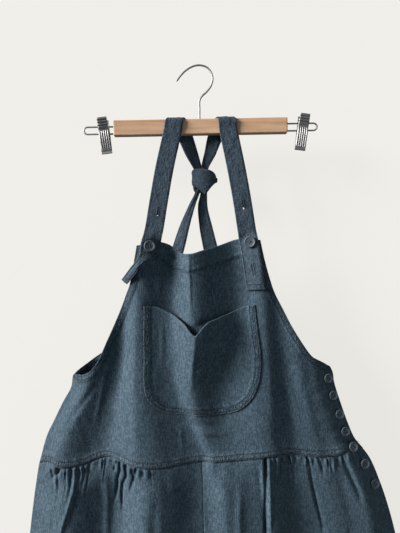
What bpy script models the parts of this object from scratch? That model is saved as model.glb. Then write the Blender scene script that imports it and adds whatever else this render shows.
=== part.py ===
# Linen overalls hanging by their straps from the bar of a clip hanger.
# X runs to the right as seen, Y away from the viewer and Z up. The origin is the inner crown of the hook.
# Tables are in millimetres and every other size is in metres.
import math

import bmesh
import bpy
import numpy as np
from mathutils import Matrix, Vector

MM = 0.001
GAP = 0.0003  # clearance between pieces that touch
CLOTH = 0.0012  # thickness of a linen panel
STRAP_THICKNESS = 0.0024  # a strap is two layers of linen
POCKET_EASE = 0.4  # millimetres that the pocket stands off the bib at its sewn edges
STRAP_EASE = 0.4
POCKET_BELLY = 11.0  # millimetres that the pocket hangs away from the bib at the middle of its mouth
EDGE_ROUNDING = 2.6  # power of the curve from a side seam to the middle of a panel

BAR_LENGTH = 0.277
BAR_DEPTH = 0.013
BAR_HEIGHT = 0.0245
BAR_TILT = math.radians(1.03)
BAR_MIDDLE = (0.0015, 0.0, -0.0978)
BAR_BEVEL = 0.0018

HOOK_WIRE = 0.0015  # radius
RAIL_WIRE = 0.0013  # radius
RAIL_SPREAD = 0.0115
RAIL_DROP = 0.0025  # of the rails below the bar's middle
RAIL_LENGTH = 0.0475

CLIP_WIDTH = 0.017
CLIP_SHEET = 0.0011
CLIP_PIN = 0.0028  # radius
PIN_RISE = 0.0092  # of the pin above a clip's middle

STRAP_BUTTON = 0.009  # radius
SIDE_BUTTON = 0.0075
BUTTON_THICKNESS = 0.003

# Gathers, in millimetres: height at the seam, full height, its distance below the seam, and their length.
GATHER_AT_SEAM = 0.8
GATHER_FULL = 3.2
GATHER_FULL_DROP = 14
GATHER_SHORT = 55
GATHER_LONG = 135
LEVEL_SEAM = -622  # mean height of the waist seam

# How closely points lie across a panel, in millimetres, and how far its rows follow the shape of an edge.
BIB_PITCH = 22
BACK_PITCH = 30
EDGE_FADE = (1.0, 0.6, 0.25)
MOUTH_FADE = (1.0, 0.62, 0.3, 0.1)

# Section of the knot's roll: shares of its half height and, outside the hole, of its reach.
KNOT_ROLL = ((-1, 0.25), (-0.8, 0.8), (-0.35, 1.0), (0.05, 0.86), (0.4, 0.98), (0.85, 0.7), (1, 0.2))

# The body as hung: height, outline to the left and right, depth of the side seams, of the front and the back.
BODY = np.array(
    [
        (-1605, -258, 292, -4, -38, 26),
        (-1450, -262, 297, -4, -39, 27),
        (-1280, -268, 304, -4, -40, 27),
        (-1100, -278, 316, -4, -42, 28),
        (-965, -284, 324, -4, -44, 30),
        (-870, -282, 325, -4, -46, 30),
        (-780, -273, 318, -4, -46, 30),
        (-705, -265, 301, -4, -46, 29),
        (-660, -259, 286, -4, -45, 28),
        (-620, -252, 268, -4, -42, 26),
        (-593, -244, 247, -4, -40, 25),
        (-555, -226, 231, -4, -38, 23),
        (-517, -206, 217, -4, -35, 21),
        (-490, -200, 210, -4, -32, 20),
        (-430, -203, 208, -4, -25, 17),
        (-350, -205, 206, -3, -17, 14),
        (-275, -205, 205, -2, -13, 12),
    ]
)

# The legs' inner edges: height, inner edge of the left leg and of the right leg. They meet above the crotch.
INSEAM = np.array(
    [
        (-1605, -16, 44),
        (-1450, -12, 40),
        (-1280, -6, 34),
        (-1100, 2, 26),
        (-965, 12, 12),
        (-780, 8, 8),
        (-620, 4, 4),
    ]
)
CROTCH_TOP = -780
CROTCH = -965

# The bib's top edge and the waist seam: across, height.
TOP_EDGE = np.array(
    [
        (-98, -288),
        (-60, -282),
        (-44, -288),
        (-32, -298),
        (-15, -301),
        (3, -296),
        (29, -288),
        (61, -277),
        (95, -279),
    ]
)
WAIST = np.array(
    [
        (-257, -633),
        (-238, -627),
        (-213, -631),
        (-185, -629),
        (-143, -616),
        (-106, -621),
        (-67, -624),
        (1, -619),
        (63, -613),
        (124, -607),
        (171, -611),
        (206, -611),
        (237, -604),
        (264, -610),
    ]
)
BACK_TOP = np.array([(-72, -356), (-40, -351), (-8, -353), (24, -350), (52, -354)])
POCKET_MOUTH = np.array(
    [
        (-86, -382),
        (-68, -383),
        (-49, -391),
        (-34, -400),
        (-22, -409),
        (-13, -420),
        (-7, -424),
        (2, -415),
        (11, -406),
        (26, -400),
        (48, -392),
        (69, -383),
        (86, -380),
    ]
)

# Rows across a panel: left end across and height, height of the middle, right end across and height.
BIB_ROWS = [
    (-98, -288, -290, 95, -279),
    (-101, -307, -312, 101, -307),
    (-108, -345, -336, 108, -333),
    (-115, -364, -360, 117, -360),
    (-125, -390, -386, 130, -386),
    (-137, -420, -412, 143, -412),
    (-148, -446, -436, 158, -437),
    (-157, -466, -458, 174, -459),
    (-170, -483, -475, 188, -469),
    (-186, -491, -487, 200, -475),
    (-200, -492, -500, 209, -482),
    (-204, -512, -515, 215, -508),
    (-217, -536, -538, 224, -536),
    (-231, -565, -565, 235, -567),
    (-243, -591, -592, 246, -592),
    (-254, -632, -619, 260, -609),
]
BACK_ROWS = [
    (-72, -356, -352, 52, -354),
    (-82, -378, -376, 64, -376),
    (-98, -405, -402, 88, -402),
    (-122, -430, -428, 118, -427),
    (-152, -455, -452, 152, -449),
    (-177, -473, -474, 182, -466),
    (-200, -492, -500, 209, -482),
    (-204, -512, -515, 215, -508),
    (-217, -536, -538, 224, -536),
    (-231, -565, -565, 235, -567),
    (-243, -591, -592, 246, -592),
    (-254, -632, -619, 260, -609),
]
POCKET_ROWS = [
    (-86, -382, -398, 86, -380),
    (-86, -405, -424, 88, -405),
    (-86, -434, -447, 91, -431),
    (-85, -462, -471, 94, -460),
    (-85, -489, -494, 92, -489),
    (-83, -511, -514, 85, -512),
    (-76, -525, -529, 74, -528),
    (-63, -537, -540, 60, -539),
    (-48, -544, -546, 45, -545),
]

# Folds of the front bodice, from left to right: across at four heights, then how far they stand forward.
FOLD_HEIGHTS = (-300, -430, -520, -610)
FRONT_FOLDS = np.array(
    [
        (-170, -172, -181, -216, 1, 2, 6, 7),
        (-130, -128, -139, -144, 1, -2, -5, -6),
        (-80, -91, -86, -82, 5, 5, 6, 6),
        (-45, -48, -38, -42, -6, -5, -3, -1),
        (-13, -9, -17, 2, 10, 9, 4, -5),
        (64, 64, 46, 48, -6, -5, -2, 0),
        (100, 101, 99, 95, 3, 4, 6, 6),
        (124, 124, 132, 138, 1, -2, -4, -5),
        (150, 150, 167, 182, 2, 2, 5, 6),
        (195, 195, 200, 222, 0, 0, -1, -3),
    ]
)
BACK_FOLDS = np.array(
    [
        (-180, -172, -176, -205, 1, 1, 4, 6),
        (-110, -118, -128, -150, 0, -2, -4, -5),
        (-56, -62, -74, -96, 4, 5, 6, 6),
        (-16, -20, -34, -40, -5, -5, -4, -3),
        (32, 28, 18, 20, 4, 5, 5, 4),
        (84, 78, 74, 78, -2, -4, -5, -5),
        (126, 130, 134, 140, 1, 3, 5, 6),
        (180, 182, 186, 206, 0, -1, -3, -4),
    ]
)

# Folds of the trouser panels: share of the way from the outer to the inner edge at four heights, then how far
# they stand out there.
LEG_HEIGHTS = (-640, -800, -1100, -1605)
LEG_FOLDS = {
    "front_leg_left": np.array(
        [
            (0.20, 0.20, 0.17, 0.15, 5, 7, 7, 6),
            (0.44, 0.42, 0.37, 0.35, -5, -6, -7, -7),
            (0.70, 0.64, 0.57, 0.55, 5, 6, 8, 9),
            (0.86, 0.80, 0.76, 0.75, 0, -3, -6, -7),
            (1.00, 0.99, 0.91, 0.90, -4, -1, 2, 4),
        ]
    ),
    "front_leg_right": np.array(
        [
            (0.12, 0.10, 0.12, 0.12, -3, -4, -3, -3),
            (0.24, 0.24, 0.27, 0.28, 4, 5, 7, 8),
            (0.45, 0.42, 0.43, 0.45, -5, -6, -7, -7),
            (0.62, 0.60, 0.60, 0.62, 5, 6, 8, 8),
            (0.67, 0.71, 0.76, 0.80, 1, -2, -6, -7),
            (0.75, 0.84, 0.91, 0.93, 3, 2, 2, 3),
            (1.00, 1.00, 1.00, 1.00, -4, -2, 0, 0),
        ]
    ),
    "back_leg_left": np.array(
        [
            (0.18, 0.19, 0.20, 0.20, 5, 6, 7, 7),
            (0.38, 0.40, 0.40, 0.41, -5, -6, -7, -7),
            (0.62, 0.62, 0.60, 0.62, 5, 6, 7, 8),
            (0.84, 0.82, 0.80, 0.82, -3, -4, -5, -5),
            (1.00, 1.00, 1.00, 1.00, 2, 2, 1, 1),
        ]
    ),
    "back_leg_right": np.array(
        [
            (0.16, 0.18, 0.20, 0.21, 5, 6, 6, 6),
            (0.34, 0.36, 0.38, 0.40, -4, -6, -7, -7),
            (0.56, 0.57, 0.58, 0.58, 6, 6, 7, 8),
            (0.80, 0.79, 0.80, 0.80, -4, -4, -5, -6),
            (1.00, 1.00, 1.00, 1.00, 2, 2, 1, 1),
        ]
    ),
}

# Gathers at the waist: left end, right end and how many.
GATHERS = {
    "front_leg_left": (-244, -70, 14),
    "front_leg_right": (92, 244, 12),
    "back_leg_left": (-236, -40, 15),
    "back_leg_right": (48, 240, 15),
}
# How far below the waist seam the rows of a trouser panel run, then the heights of the level rows.
LEG_DROPS = (0, 5, 14, 32, 62)
LEG_LEVELS = (-720, -780, -830, -880, -930, -956, -965, -1000, -1080, -1200, -1340, -1480, -1605)

# A strap's rows from the knot over the bar to its free end: middle across, depth and height, width,
# turn of its width in the front plane and turn about its own run, both in degrees.
STRAP_LEFT = [
    (3.5, 9.5, -178, 10, 12, 0),
    (0.5, 9.5, -161, 11, 18, 0),
    (-10, 8.7, -136, 17, 20, 0),
    (-22, 7.3, -112, 24, 18, 0),
    (-30, 7.0, -96, 27, 12, 0),
    (-33, 7.2, -87.7, 28, 1, 0),
    (-34.5, 5.3, -85.8, 28.5, 1, 0),
    (-36.5, 0, -85.8, 29, 1, 0),
    (-38, -5.3, -85.8, 29, 1, 0),
    (-39, -7.2, -87.7, 29, 1, 0),
    (-42, -7.1, -104, 29, -10, 0),
    (-45.5, -7.4, -120, 29, -10, 0),
    (-55, -10.8, -165, 29, -10, 0),
    (-65, -15.0, -225, 29, -10, 0),
    (-72, -18.2, -268, 29, -12, 0),
]
STRAP_RIGHT = [
    (8, 14.0, -178, 12, -14, 0),
    (8, 14.0, -162, 12, -16, 0),
    (16, 11.5, -136, 18, -22, 0),
    (24, 8.4, -114, 24, -20, 0),
    (32, 7.0, -97, 27, -13, 0),
    (36, 7.2, -86.3, 28, 1, 0),
    (37.5, 5.3, -84.4, 28.5, 1, 0),
    (39.5, 0, -84.35, 29, 1, 0),
    (41.5, -5.3, -84.35, 29, 1, 0),
    (43, -7.2, -86.2, 29, 1, 0),
    (45.5, -7.1, -102, 29, 9, 0),
    (48.5, -7.4, -118, 29, 9, 0),
    (58, -9.4, -165, 29, 9, 0),
    (68, -11.8, -222, 29, 9, 0),
    (74, -13.6, -262, 29, 8, 0),
]
# Where a strap lies on a panel: middle across and height, width, turn of its width in degrees, how far it
# stands off the panel and how much further it stands off at its right edge.
STRAP_LEFT_END = [
    (-77, -288, 29, -15, 0, 0),
    (-80, -299, 27, -24, 0.6, 1),
    (-85, -308, 19, -42, 1.6, 3),
    (-93, -316, 12, -56, 2.6, 5),
    (-102, -326, 12, -48, 2.6, 4),
    (-111, -336, 10, -42, 2, 2),
    (-116, -342, 6, -40, 1.5, 1),
]
STRAP_RIGHT_END = [
    (77.5, -283, 29, 7, 0, 0),
    (80.5, -302, 29, 6, 0, 0),
    (83.5, -322, 29, 5, 0, 0),
    (86, -341, 29, 4, 0, 0),
    (88, -357, 29, 3, 0, 0),
]
STRAP_LEFT_BACK = [
    (0.5, 10.5, -186, 9, 8, 0),
    (-2, 10.8, -200, 8, 10, 0),
    (-10, 11.2, -218, 9, 14, 0),
    (-22, 11.6, -252, 17, 16, 0),
    (-34, 11.4, -290, 22, 17, 0),
    (-45, 10.4, -324, 27, 15, 0),
    (-51, 9.4, -345, 29, 14, 0),
]
STRAP_LEFT_BACK_END = [(-54, -358, 29, 12, 0, 0), (-56, -366, 29, 12, 0, 0), (-59, -378, 29, 12, 0, 0)]
STRAP_RIGHT_BACK = [
    (7, 14.2, -186, 11, -4, 0),
    (7, 14.4, -200, 11, -6, 0),
    (5.5, 14.4, -222, 15, -10, 0),
    (10, 13.8, -252, 21, -12, 0),
    (18, 12.6, -290, 25, -13, 0),
    (26, 11.0, -324, 28, -12, 0),
    (31, 10.0, -345, 29, -11, 0),
]
STRAP_RIGHT_BACK_END = [(33, -358, 29, -10, 0, 0), (34.5, -366, 29, -10, 0, 0), (36.5, -378, 29, -10, 0, 0)]

# The knot's turns: angle about the bundle in degrees, half height, outer reach and how far each is lifted.
KNOT_MIDDLE = (5.0, 12.0, -181.0)
KNOT_HOLE = (12.0, 7.5)
KNOT_TURNS = [
    (0, 16, 10.2, -2),
    (30, 18, 9.2, -3),
    (60, 20, 6.2, -3),
    (90, 19, 5.2, -1),
    (120, 17, 5.7, 2),
    (150, 16, 6.2, 4),
    (180, 15, 5.7, 4),
    (210, 17, 6.2, 3),
    (240, 19, 6.7, 1),
    (270, 21, 6.2, -2),
    (300, 20, 7.2, -4),
    (330, 18, 9.7, -4),
]

STRAP_BUTTONS = [("strap_button_left", "left", -77.5, -289), ("strap_button_right", "right", 79.5, -282)]
SIDE_BUTTONS = [(203, -497), (211, -524), (221, -554), (230, -581), (242, -605), (261, -632), (277, -664)]

HOOK_LINE = [
    (-36, -23),
    (-30, -15),
    (-22, -7),
    (-11, -0.5),
    (0, 1.5),
    (11, -1.5),
    (18, -9),
    (21, -20),
    (18, -32),
    (11, -41.5),
    (4, -48),
    (0, -56),
    (0, -70),
    (0, -95),
]

# One leaf of a clip, from its top to its jaw: height and depth.
CLIP_LEAF = [
    (28, -9.6),
    (26, -8.6),
    (24, -9.2),
    (22, -7.8),
    (20, -8.4),
    (18, -6.9),
    (16, -7.2),
    (13, -5.0),
    (9.2, -3.15),
    (5, -4.2),
    (-4, -4.4),
    (-14, -2.8),
    (-22, -1.0),
    (-25, -0.15),
    (-28, -1.2),
]


def column(table, heights, index):
    return np.interp(heights, table[:, 0], table[:, index])


def body(height, index):
    return float(column(BODY, height, index))


def smooth(share):
    share = min(1.0, max(0.0, share))
    return share * share * (3.0 - 2.0 * share)


def fold_rise(places, rises, across):
    """Height of the folds at one place across: a soft run from each crest to the next valley."""
    if across <= places[0]:
        return rises[0]
    for left, right, low, high in zip(places, places[1:], rises, rises[1:]):
        if across <= right:
            return low + (high - low) * smooth((across - left) / max(right - left, 1e-6))
    return rises[-1]


def folds_at(table, heights, height):
    """Places and rises of a fold table at one height."""
    falling = np.array(heights[::-1], float)
    places = [np.interp(height, falling, row[:4][::-1]) for row in table]
    rises = [np.interp(height, falling, row[4:][::-1]) for row in table]
    return places, rises


def waist(across):
    return float(np.interp(across, WAIST[:, 0], WAIST[:, 1]))


def bodice_rise(table, across, height):
    places, rises = folds_at(table, FOLD_HEIGHTS, height)
    return fold_rise(places, rises, across)


def from_middle(across, height):
    """How far out a point is, 0 at the body's middle and 1 at its side seams."""
    left, right = body(height, 1), body(height, 2)
    return min(1.0, abs(across - (left + right) / 2) / ((right - left) / 2))


def stand(fullness, reach, rise):
    """Distance of a panel from the plane of the side seams; its folds fade out beside a seam."""
    return max(0.0, fullness * reach + rise * smooth(fullness / 0.4))


def front_of_bodice(across, height):
    """Depth of the bodice's front face, in millimetres."""
    fullness = 1.0 - from_middle(across, height) ** EDGE_ROUNDING
    side = body(height, 3)
    rise = bodice_rise(FRONT_FOLDS, across, height)
    return side - (GAP / 2 + CLOTH) / MM - stand(fullness, side - body(height, 4), rise)


def back_of_bodice(across, height):
    fullness = 1.0 - from_middle(across, height) ** EDGE_ROUNDING
    side = body(height, 3)
    rise = bodice_rise(BACK_FOLDS, across, height)
    return side + (GAP / 2 + CLOTH) / MM + stand(fullness, body(height, 5) - side, rise)


def leg_edges(name, height):
    """Outer and inner edge of a trouser leg at one height."""
    if name.endswith("left"):
        return body(height, 1), float(column(INSEAM, height, 1))
    return body(height, 2), float(column(INSEAM, height, 2))


def gather_lines(name):
    """Places of the crests and of the valleys between them, unevenly spaced along the seam."""
    start, end, count = GATHERS[name]
    turns = [k / 2 for k in range(2 * count + 1)]
    full = count + 0.2 * math.sin(1.9 * count)
    return turns, [start + (end - start) * (turn + 0.2 * math.sin(1.9 * turn)) / full for turn in turns]


def gather_rise(name, across, drop):
    """Height of the gathers, which open quickly below the seam and run out into the large folds."""
    turns, lines = gather_lines(name)
    if across <= lines[0] or across >= lines[-1]:
        return 0.0
    turn = float(np.interp(across, lines, turns))
    end_drop = GATHER_SHORT + (GATHER_LONG - GATHER_SHORT) * (0.5 + 0.5 * math.sin(1.3 * turn))
    if drop < GATHER_FULL_DROP:
        size = GATHER_AT_SEAM + (GATHER_FULL - GATHER_AT_SEAM) * smooth(drop / GATHER_FULL_DROP)
    else:
        size = GATHER_FULL * (1 - smooth((drop - GATHER_FULL_DROP) / (end_drop - GATHER_FULL_DROP)))
    uneven = 0.8 + 0.2 * math.sin(2.3 * turn + 1.0)
    return -size * uneven * math.cos(2 * math.pi * turn)


def leg_surface(name, across, height):
    """Depth of a trouser panel's outer face: full across the hips, closed to the inseam below the crotch."""
    outer, inner = leg_edges(name, height)
    middle = (outer + inner) / 2
    share = min(1.0, max(0.0, (across - outer) / (inner - outer)))
    as_body = smooth((height - CROTCH) / (CROTCH_TOP - CROTCH))
    out_share = max(0.0, (middle - across) / (middle - outer))
    in_share = max(0.0, (across - middle) / (inner - middle))
    open_here = 0.0
    if height > CROTCH:
        fall = max(0.0, (CROTCH_TOP - height) / (CROTCH_TOP - CROTCH))
        open_here = math.sqrt(max(0.0, 1.0 - fall * fall))
    closing = as_body * from_middle(across, height) ** EDGE_ROUNDING
    closing += (1 - as_body) * out_share**EDGE_ROUNDING
    closing += (1 - open_here) * in_share**EDGE_ROUNDING
    fullness = max(0.0, 1.0 - closing)
    drop = waist(across) - height
    upper = bodice_rise(FRONT_FOLDS if name.startswith("front") else BACK_FOLDS, across, waist(across))
    places, rises = folds_at(LEG_FOLDS[name], LEG_HEIGHTS, height)
    lower = fold_rise(places, rises, share)
    rise = upper + (lower - upper) * smooth(drop / 60)
    rise += gather_rise(name, across, max(0.0, drop))
    side = body(height, 3)
    if name.startswith("front"):
        return side - (GAP / 2 + CLOTH) / MM - stand(fullness, side - body(height, 4), rise)
    return side + (GAP / 2 + CLOTH) / MM + stand(fullness, body(height, 5) - side, rise)


def pocket_surface(across, height):
    """The bib's own face moved out, and bellied where the mouth hangs open."""
    left = np.interp(height, [row[1] for row in POCKET_ROWS[::-1]], [row[0] for row in POCKET_ROWS[::-1]])
    right = np.interp(height, [row[4] for row in POCKET_ROWS[::-1]], [row[3] for row in POCKET_ROWS[::-1]])
    share = min(1.0, max(0.0, (across - left) / (right - left)))
    down = min(1.0, max(0.0, (-390 - height) / 135))
    belly = POCKET_BELLY * math.sin(math.pi * share) ** 1.5 * (1 - smooth(down))
    return on_bib(across, height) - (GAP + CLOTH) / MM - POCKET_EASE - belly


def face_of(panels, start, surface):
    """Depth at which a line along Y meets built panels, or depth of a surface where it meets none."""

    def depth(across, height):
        found = [panel.ray_cast(Vector((across, start, height)) * MM, Vector((0, 1, 0))) for panel in panels]
        depths = [place.y / MM for hit, place, _, _ in found if hit]
        return min(depths) if depths else surface(across, height)

    return depth


def row_height(row, across):
    """Height of a row at one place across: level in the middle and bent at its ends."""
    left, left_height, middle_height, right, right_height = row
    share = min(1.0, max(0.0, (across - left) / (right - left)))
    height = middle_height
    height += (left_height - middle_height) * (1 - smooth(share / 0.18))
    return height + (right_height - middle_height) * (1 - smooth((1 - share) / 0.18))


def between(values, widest):
    """The values with more set evenly between them wherever two lie further apart than widest."""
    filled = []
    for left, right in zip(values, values[1:]):
        steps = max(1, math.ceil((right - left) / widest))
        filled += [left + (right - left) * k / steps for k in range(steps)]
    return filled + [values[-1]]


def thinned(places, kept, nearest):
    """Sorted places with every one dropped that lies too near to one that is kept."""
    return sorted([*kept, *[x for x in places if min(abs(x - y) for y in kept) >= nearest]])


def on_line(line, across):
    return float(np.interp(across, line[:, 0], line[:, 1]))


def panel_rows(table, folds, edge, edge_low, widest, fades):
    """Rows of a bodice panel, following the curve of its top edge and of the waist seam."""
    rows = []
    for number, row in enumerate(table):
        from_end = len(table) - 1 - number
        top_fade = fades[number] if number < len(fades) else 0.0
        low_fade = fades[from_end] if edge_low is not None and from_end < len(fades) else 0.0
        kept = [row[0], row[3]]
        if number == 0:
            kept += [x for x in edge[:, 0] if row[0] + 3 < x < row[3] - 3]
        if low_fade == 1.0:
            kept += [x for x in edge_low[:, 0] if row[0] + 3 < x < row[3] - 3]
        places, _ = folds_at(folds, FOLD_HEIGHTS, row[2])
        inside = [x for x in between(sorted(places), widest) if row[0] < x < row[3]]
        points = []
        for across in thinned(inside, kept, 5):
            height = row_height(row, across)
            if top_fade:
                height += top_fade * (on_line(edge, across) - row_height(table[0], across))
            if low_fade:
                seam = on_line(edge_low, across) + GAP / 2 / MM
                height += low_fade * (seam - row_height(table[-1], across))
            points.append((across, height))
        rows.append(points)
    return rows


def leg_row_ends(name, height_at):
    """Both ends of a row, each at the row's own height, with half the seam's gap where the legs meet."""
    ends = []
    for which in (0, 1):
        across = leg_edges(name, LEVEL_SEAM)[which]
        for _ in range(4):
            across = leg_edges(name, height_at(across))[which]
        ends.append(across)
    if height_at(ends[1]) >= CROTCH:
        ends[1] += -GAP / 2 / MM if name.endswith("left") else GAP / 2 / MM
    return ends


def leg_rows(name):
    """Rows of a trouser panel: close ones that follow the waist seam, then level ones down to the hem."""
    _, lines = gather_lines(name)
    rows = []
    for drop in LEG_DROPS:

        def height_at(across):
            follow = 1 - smooth((drop - 20) / 70)
            return LEVEL_SEAM - drop + (waist(across) - GAP / 2 / MM - LEVEL_SEAM) * follow

        low, high = sorted(leg_row_ends(name, height_at))
        kept = [low, high]
        if drop == 0:
            kept += [x for x in WAIST[:, 0] if low + 3 < x < high - 3]
        others = [x for x in between([low, high], 26) if x < lines[0] - 5 or x > lines[-1] + 5]
        inside = [x for x in [*lines, *others] if low < x < high]
        rows.append([(x, height_at(x)) for x in thinned(inside, kept, 3)])
    for level in LEG_LEVELS:
        outer, inner = leg_row_ends(name, lambda across: level)
        places, _ = folds_at(LEG_FOLDS[name], LEG_HEIGHTS, level)
        shares = between(sorted({0.06, *[p for p in places if 0.08 < p < 0.92], 0.96}), 0.16)
        across = sorted([outer, inner, *[outer + (inner - outer) * share for share in shares]])
        wave = 3.0 if level == LEG_LEVELS[-1] else 0.0
        rows.append([(x, level + wave * math.sin(x / 37)) for x in across])
    return rows


def solid(name, first, second, material):
    """A closed solid between two faces given as matching rows of points; rows may differ in length."""
    mesh = bmesh.new()
    sheets = []
    for rows in (first, second):
        sheets.append([[mesh.verts.new(Vector(point) * MM) for point in row] for row in rows])
    one, two = sheets
    for k in range(len(one) - 1):
        i, j = 0, 0
        while i < len(one[k]) - 1 or j < len(one[k + 1]) - 1:
            across_top = i < len(one[k]) - 1
            if across_top and j < len(one[k + 1]) - 1:
                over = (one[k][i + 1].co - one[k + 1][j].co).length
                under = (one[k][i].co - one[k + 1][j + 1].co).length
                across_top = over <= under
            if across_top:
                mesh.faces.new((one[k][i], one[k][i + 1], one[k + 1][j]))
                mesh.faces.new((two[k][i + 1], two[k][i], two[k + 1][j]))
                i += 1
            else:
                mesh.faces.new((one[k][i], one[k + 1][j + 1], one[k + 1][j]))
                mesh.faces.new((two[k + 1][j + 1], two[k][i], two[k + 1][j]))
                j += 1
    for row in (0, len(one) - 1):
        for i in range(len(one[row]) - 1):
            mesh.faces.new((one[row][i], one[row][i + 1], two[row][i + 1], two[row][i]))
    for side in (0, -1):
        for k in range(len(one) - 1):
            mesh.faces.new((one[k][side], one[k + 1][side], two[k + 1][side], two[k][side]))
    bmesh.ops.triangulate(mesh, faces=[face for face in mesh.faces if len(face.verts) > 3])
    bmesh.ops.recalc_face_normals(mesh, faces=mesh.faces)
    return add(name, mesh, material)


def add(name, mesh, material):
    data = bpy.data.meshes.new(name)
    mesh.to_mesh(data)
    mesh.free()
    thing = bpy.data.objects.new(name, data)
    data.materials.append(material)
    garment.objects.link(thing)
    return thing


def wall(name, rows, surface, inward, material):
    """A cloth wall: its shown face at surface(across, height), the other face one thickness further in."""
    shown, hidden = [], []
    for row in rows:
        shown_row, hidden_row = [], []
        for across, height in row:
            depth = surface(across, height)
            slope = (surface(across + 1.5, height) - surface(across - 1.5, height)) / 3.0
            thick = CLOTH / MM * min(1.6, math.sqrt(1 + slope * slope))
            shown_row.append((across, depth, height))
            hidden_row.append((across, depth + inward * thick, height))
        shown.append(shown_row)
        hidden.append(hidden_row)
    return solid(name, shown, hidden, material)


def band(name, table, material, ending=(), surface=None, outward=-1):
    """A flat strap through rows of its table, with an end that may lie on a panel's surface."""
    middles = [Vector(row[:3]) for row in table]
    inner_rows, outer_rows = [], []
    for number, row in enumerate(table):
        before = middles[max(0, number - 1)]
        after = middles[min(len(middles) - 1, number + 1)]
        run = (after - before).normalized()
        turn = math.radians(row[4])
        wide = Vector((math.cos(turn), 0, math.sin(turn)))
        wide.rotate(Matrix.Rotation(math.radians(row[5]), 3, run))
        out = run.cross(wide).normalized()
        inner_rows.append([middles[number] + wide * row[3] * share for share in (-0.5, -0.25, 0, 0.25, 0.5)])
        outer_rows.append([point + out * STRAP_THICKNESS / MM for point in inner_rows[-1]])
    for across, height, width, turn, lift, more in ending:
        turn = math.radians(turn)
        inner_row, outer_row = [], []
        for share in (-0.5, -0.25, 0, 0.25, 0.5):
            x = across + math.cos(turn) * width * share
            z = height + math.sin(turn) * width * share
            y = surface(x, z) + outward * (GAP / MM + STRAP_EASE + lift + more * (share + 0.5))
            inner_row.append(Vector((x, y, z)))
            outer_row.append(Vector((x, y + outward * STRAP_THICKNESS / MM, z)))
        inner_rows.append(inner_row)
        outer_rows.append(outer_row)
    return solid(name, inner_rows, outer_rows, material)


def knot(name, material):
    """The turns of the knot: a thick roll of cloth round the straps, ribbed where one crosses the next."""
    mesh = bmesh.new()
    rings = []
    for angle, half, reach, lift in KNOT_TURNS:
        angle = math.radians(angle)
        way = Vector((math.cos(angle), math.sin(angle), 0))
        hole = Vector((KNOT_HOLE[0] * math.cos(angle), KNOT_HOLE[1] * math.sin(angle), 0))
        ring = []
        for share, out in KNOT_ROLL:
            ring.append(Vector(KNOT_MIDDLE) + hole + way * reach * out + Vector((0, 0, lift + half * share)))
        for share in (0.8, 0.0, -0.8):
            ring.append(Vector(KNOT_MIDDLE) + hole + Vector((0, 0, lift * 0.3 + half * share)))
        rings.append([mesh.verts.new(point * MM) for point in ring])
    count = len(rings[0])
    for k, ring in enumerate(rings):
        following = rings[(k + 1) % len(rings)]
        for i in range(count):
            mesh.faces.new((ring[i], ring[(i + 1) % count], following[(i + 1) % count], following[i]))
    bmesh.ops.triangulate(mesh, faces=mesh.faces)
    bmesh.ops.recalc_face_normals(mesh, faces=mesh.faces)
    return add(name, mesh, material)


def turned(name, outline, steps, place, material):
    """A part turned about its own axis by Screw, then placed by a matrix."""
    mesh = bmesh.new()
    points = [mesh.verts.new((radius, 0, height)) for radius, height in outline]
    for one, two in zip(points, points[1:]):
        mesh.edges.new((one, two))
    thing = add(name, mesh, material)
    screw = thing.modifiers.new("turn", "SCREW")
    screw.axis = "Z"
    screw.steps = steps
    screw.render_steps = steps
    screw.use_merge_vertices = True
    screw.merge_threshold = 0.00005
    thing.matrix_world = place
    return thing


def button(name, radius, place, out, material):
    """A round button with a raised rim, its flat back just clear of the cloth."""
    outline = [
        (0, BUTTON_THICKNESS * 0.66),
        (radius * 0.66, BUTTON_THICKNESS * 0.72),
        (radius * 0.84, BUTTON_THICKNESS),
        (radius * 0.97, BUTTON_THICKNESS * 0.85),
        (radius, BUTTON_THICKNESS * 0.35),
        (radius * 0.9, 0),
        (0, 0),
    ]
    turn = Vector((0, 0, 1)).rotation_difference(out).to_matrix().to_4x4()
    return turned(name, outline, 16, Matrix.Translation(place) @ turn, material)


def surface_out(surface, across, height, reach):
    """Outward direction of a panel's front face, taken over a small reach."""
    by_x = (surface(across + reach, height) - surface(across - reach, height)) / (2 * reach)
    by_z = (surface(across, height + reach) - surface(across, height - reach)) / (2 * reach)
    return Vector((by_x, -1, by_z)).normalized()


def clearance(surface, middle, out, radius):
    """How far a flat disc is moved out so that it clears the cloth under it."""
    need = 0.0
    side = out.cross(Vector((0, 0, 1))).normalized()
    up = side.cross(out)
    for k in range(16):
        for share in (0.5, 1.0):
            around = side * math.cos(k * math.pi / 8) + up * math.sin(k * math.pi / 8)
            point = middle + around * radius * share
            need = max(need, (point.y - surface(point.x, point.z)) * -out.y)
    return need


def wire(name, points, radius, material, resolution=3):
    curve = bpy.data.curves.new(name, "CURVE")
    curve.dimensions = "3D"
    curve.bevel_depth = radius
    curve.bevel_resolution = resolution
    curve.use_fill_caps = True
    line = curve.splines.new("POLY")
    line.points.add(len(points) - 1)
    for point, place in zip(line.points, points):
        point.co = (*place, 1)
    thing = bpy.data.objects.new(name, curve)
    curve.materials.append(material)
    garment.objects.link(thing)
    return thing


def rounded(points, steps):
    """A smooth line through the given points."""
    points = [Vector(point) for point in points]
    line = []
    for k in range(len(points) - 1):
        a, b, c, d = points[max(0, k - 1)], points[k], points[k + 1], points[min(len(points) - 1, k + 2)]
        for step in range(steps):
            t = step / steps
            bend = (2 * a - 5 * b + 4 * c - d) * t**2 + (3 * b - a - 3 * c + d) * t**3
            line.append(0.5 * (2 * b + (c - a) * t + bend))
    return line + [points[-1]]


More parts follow.
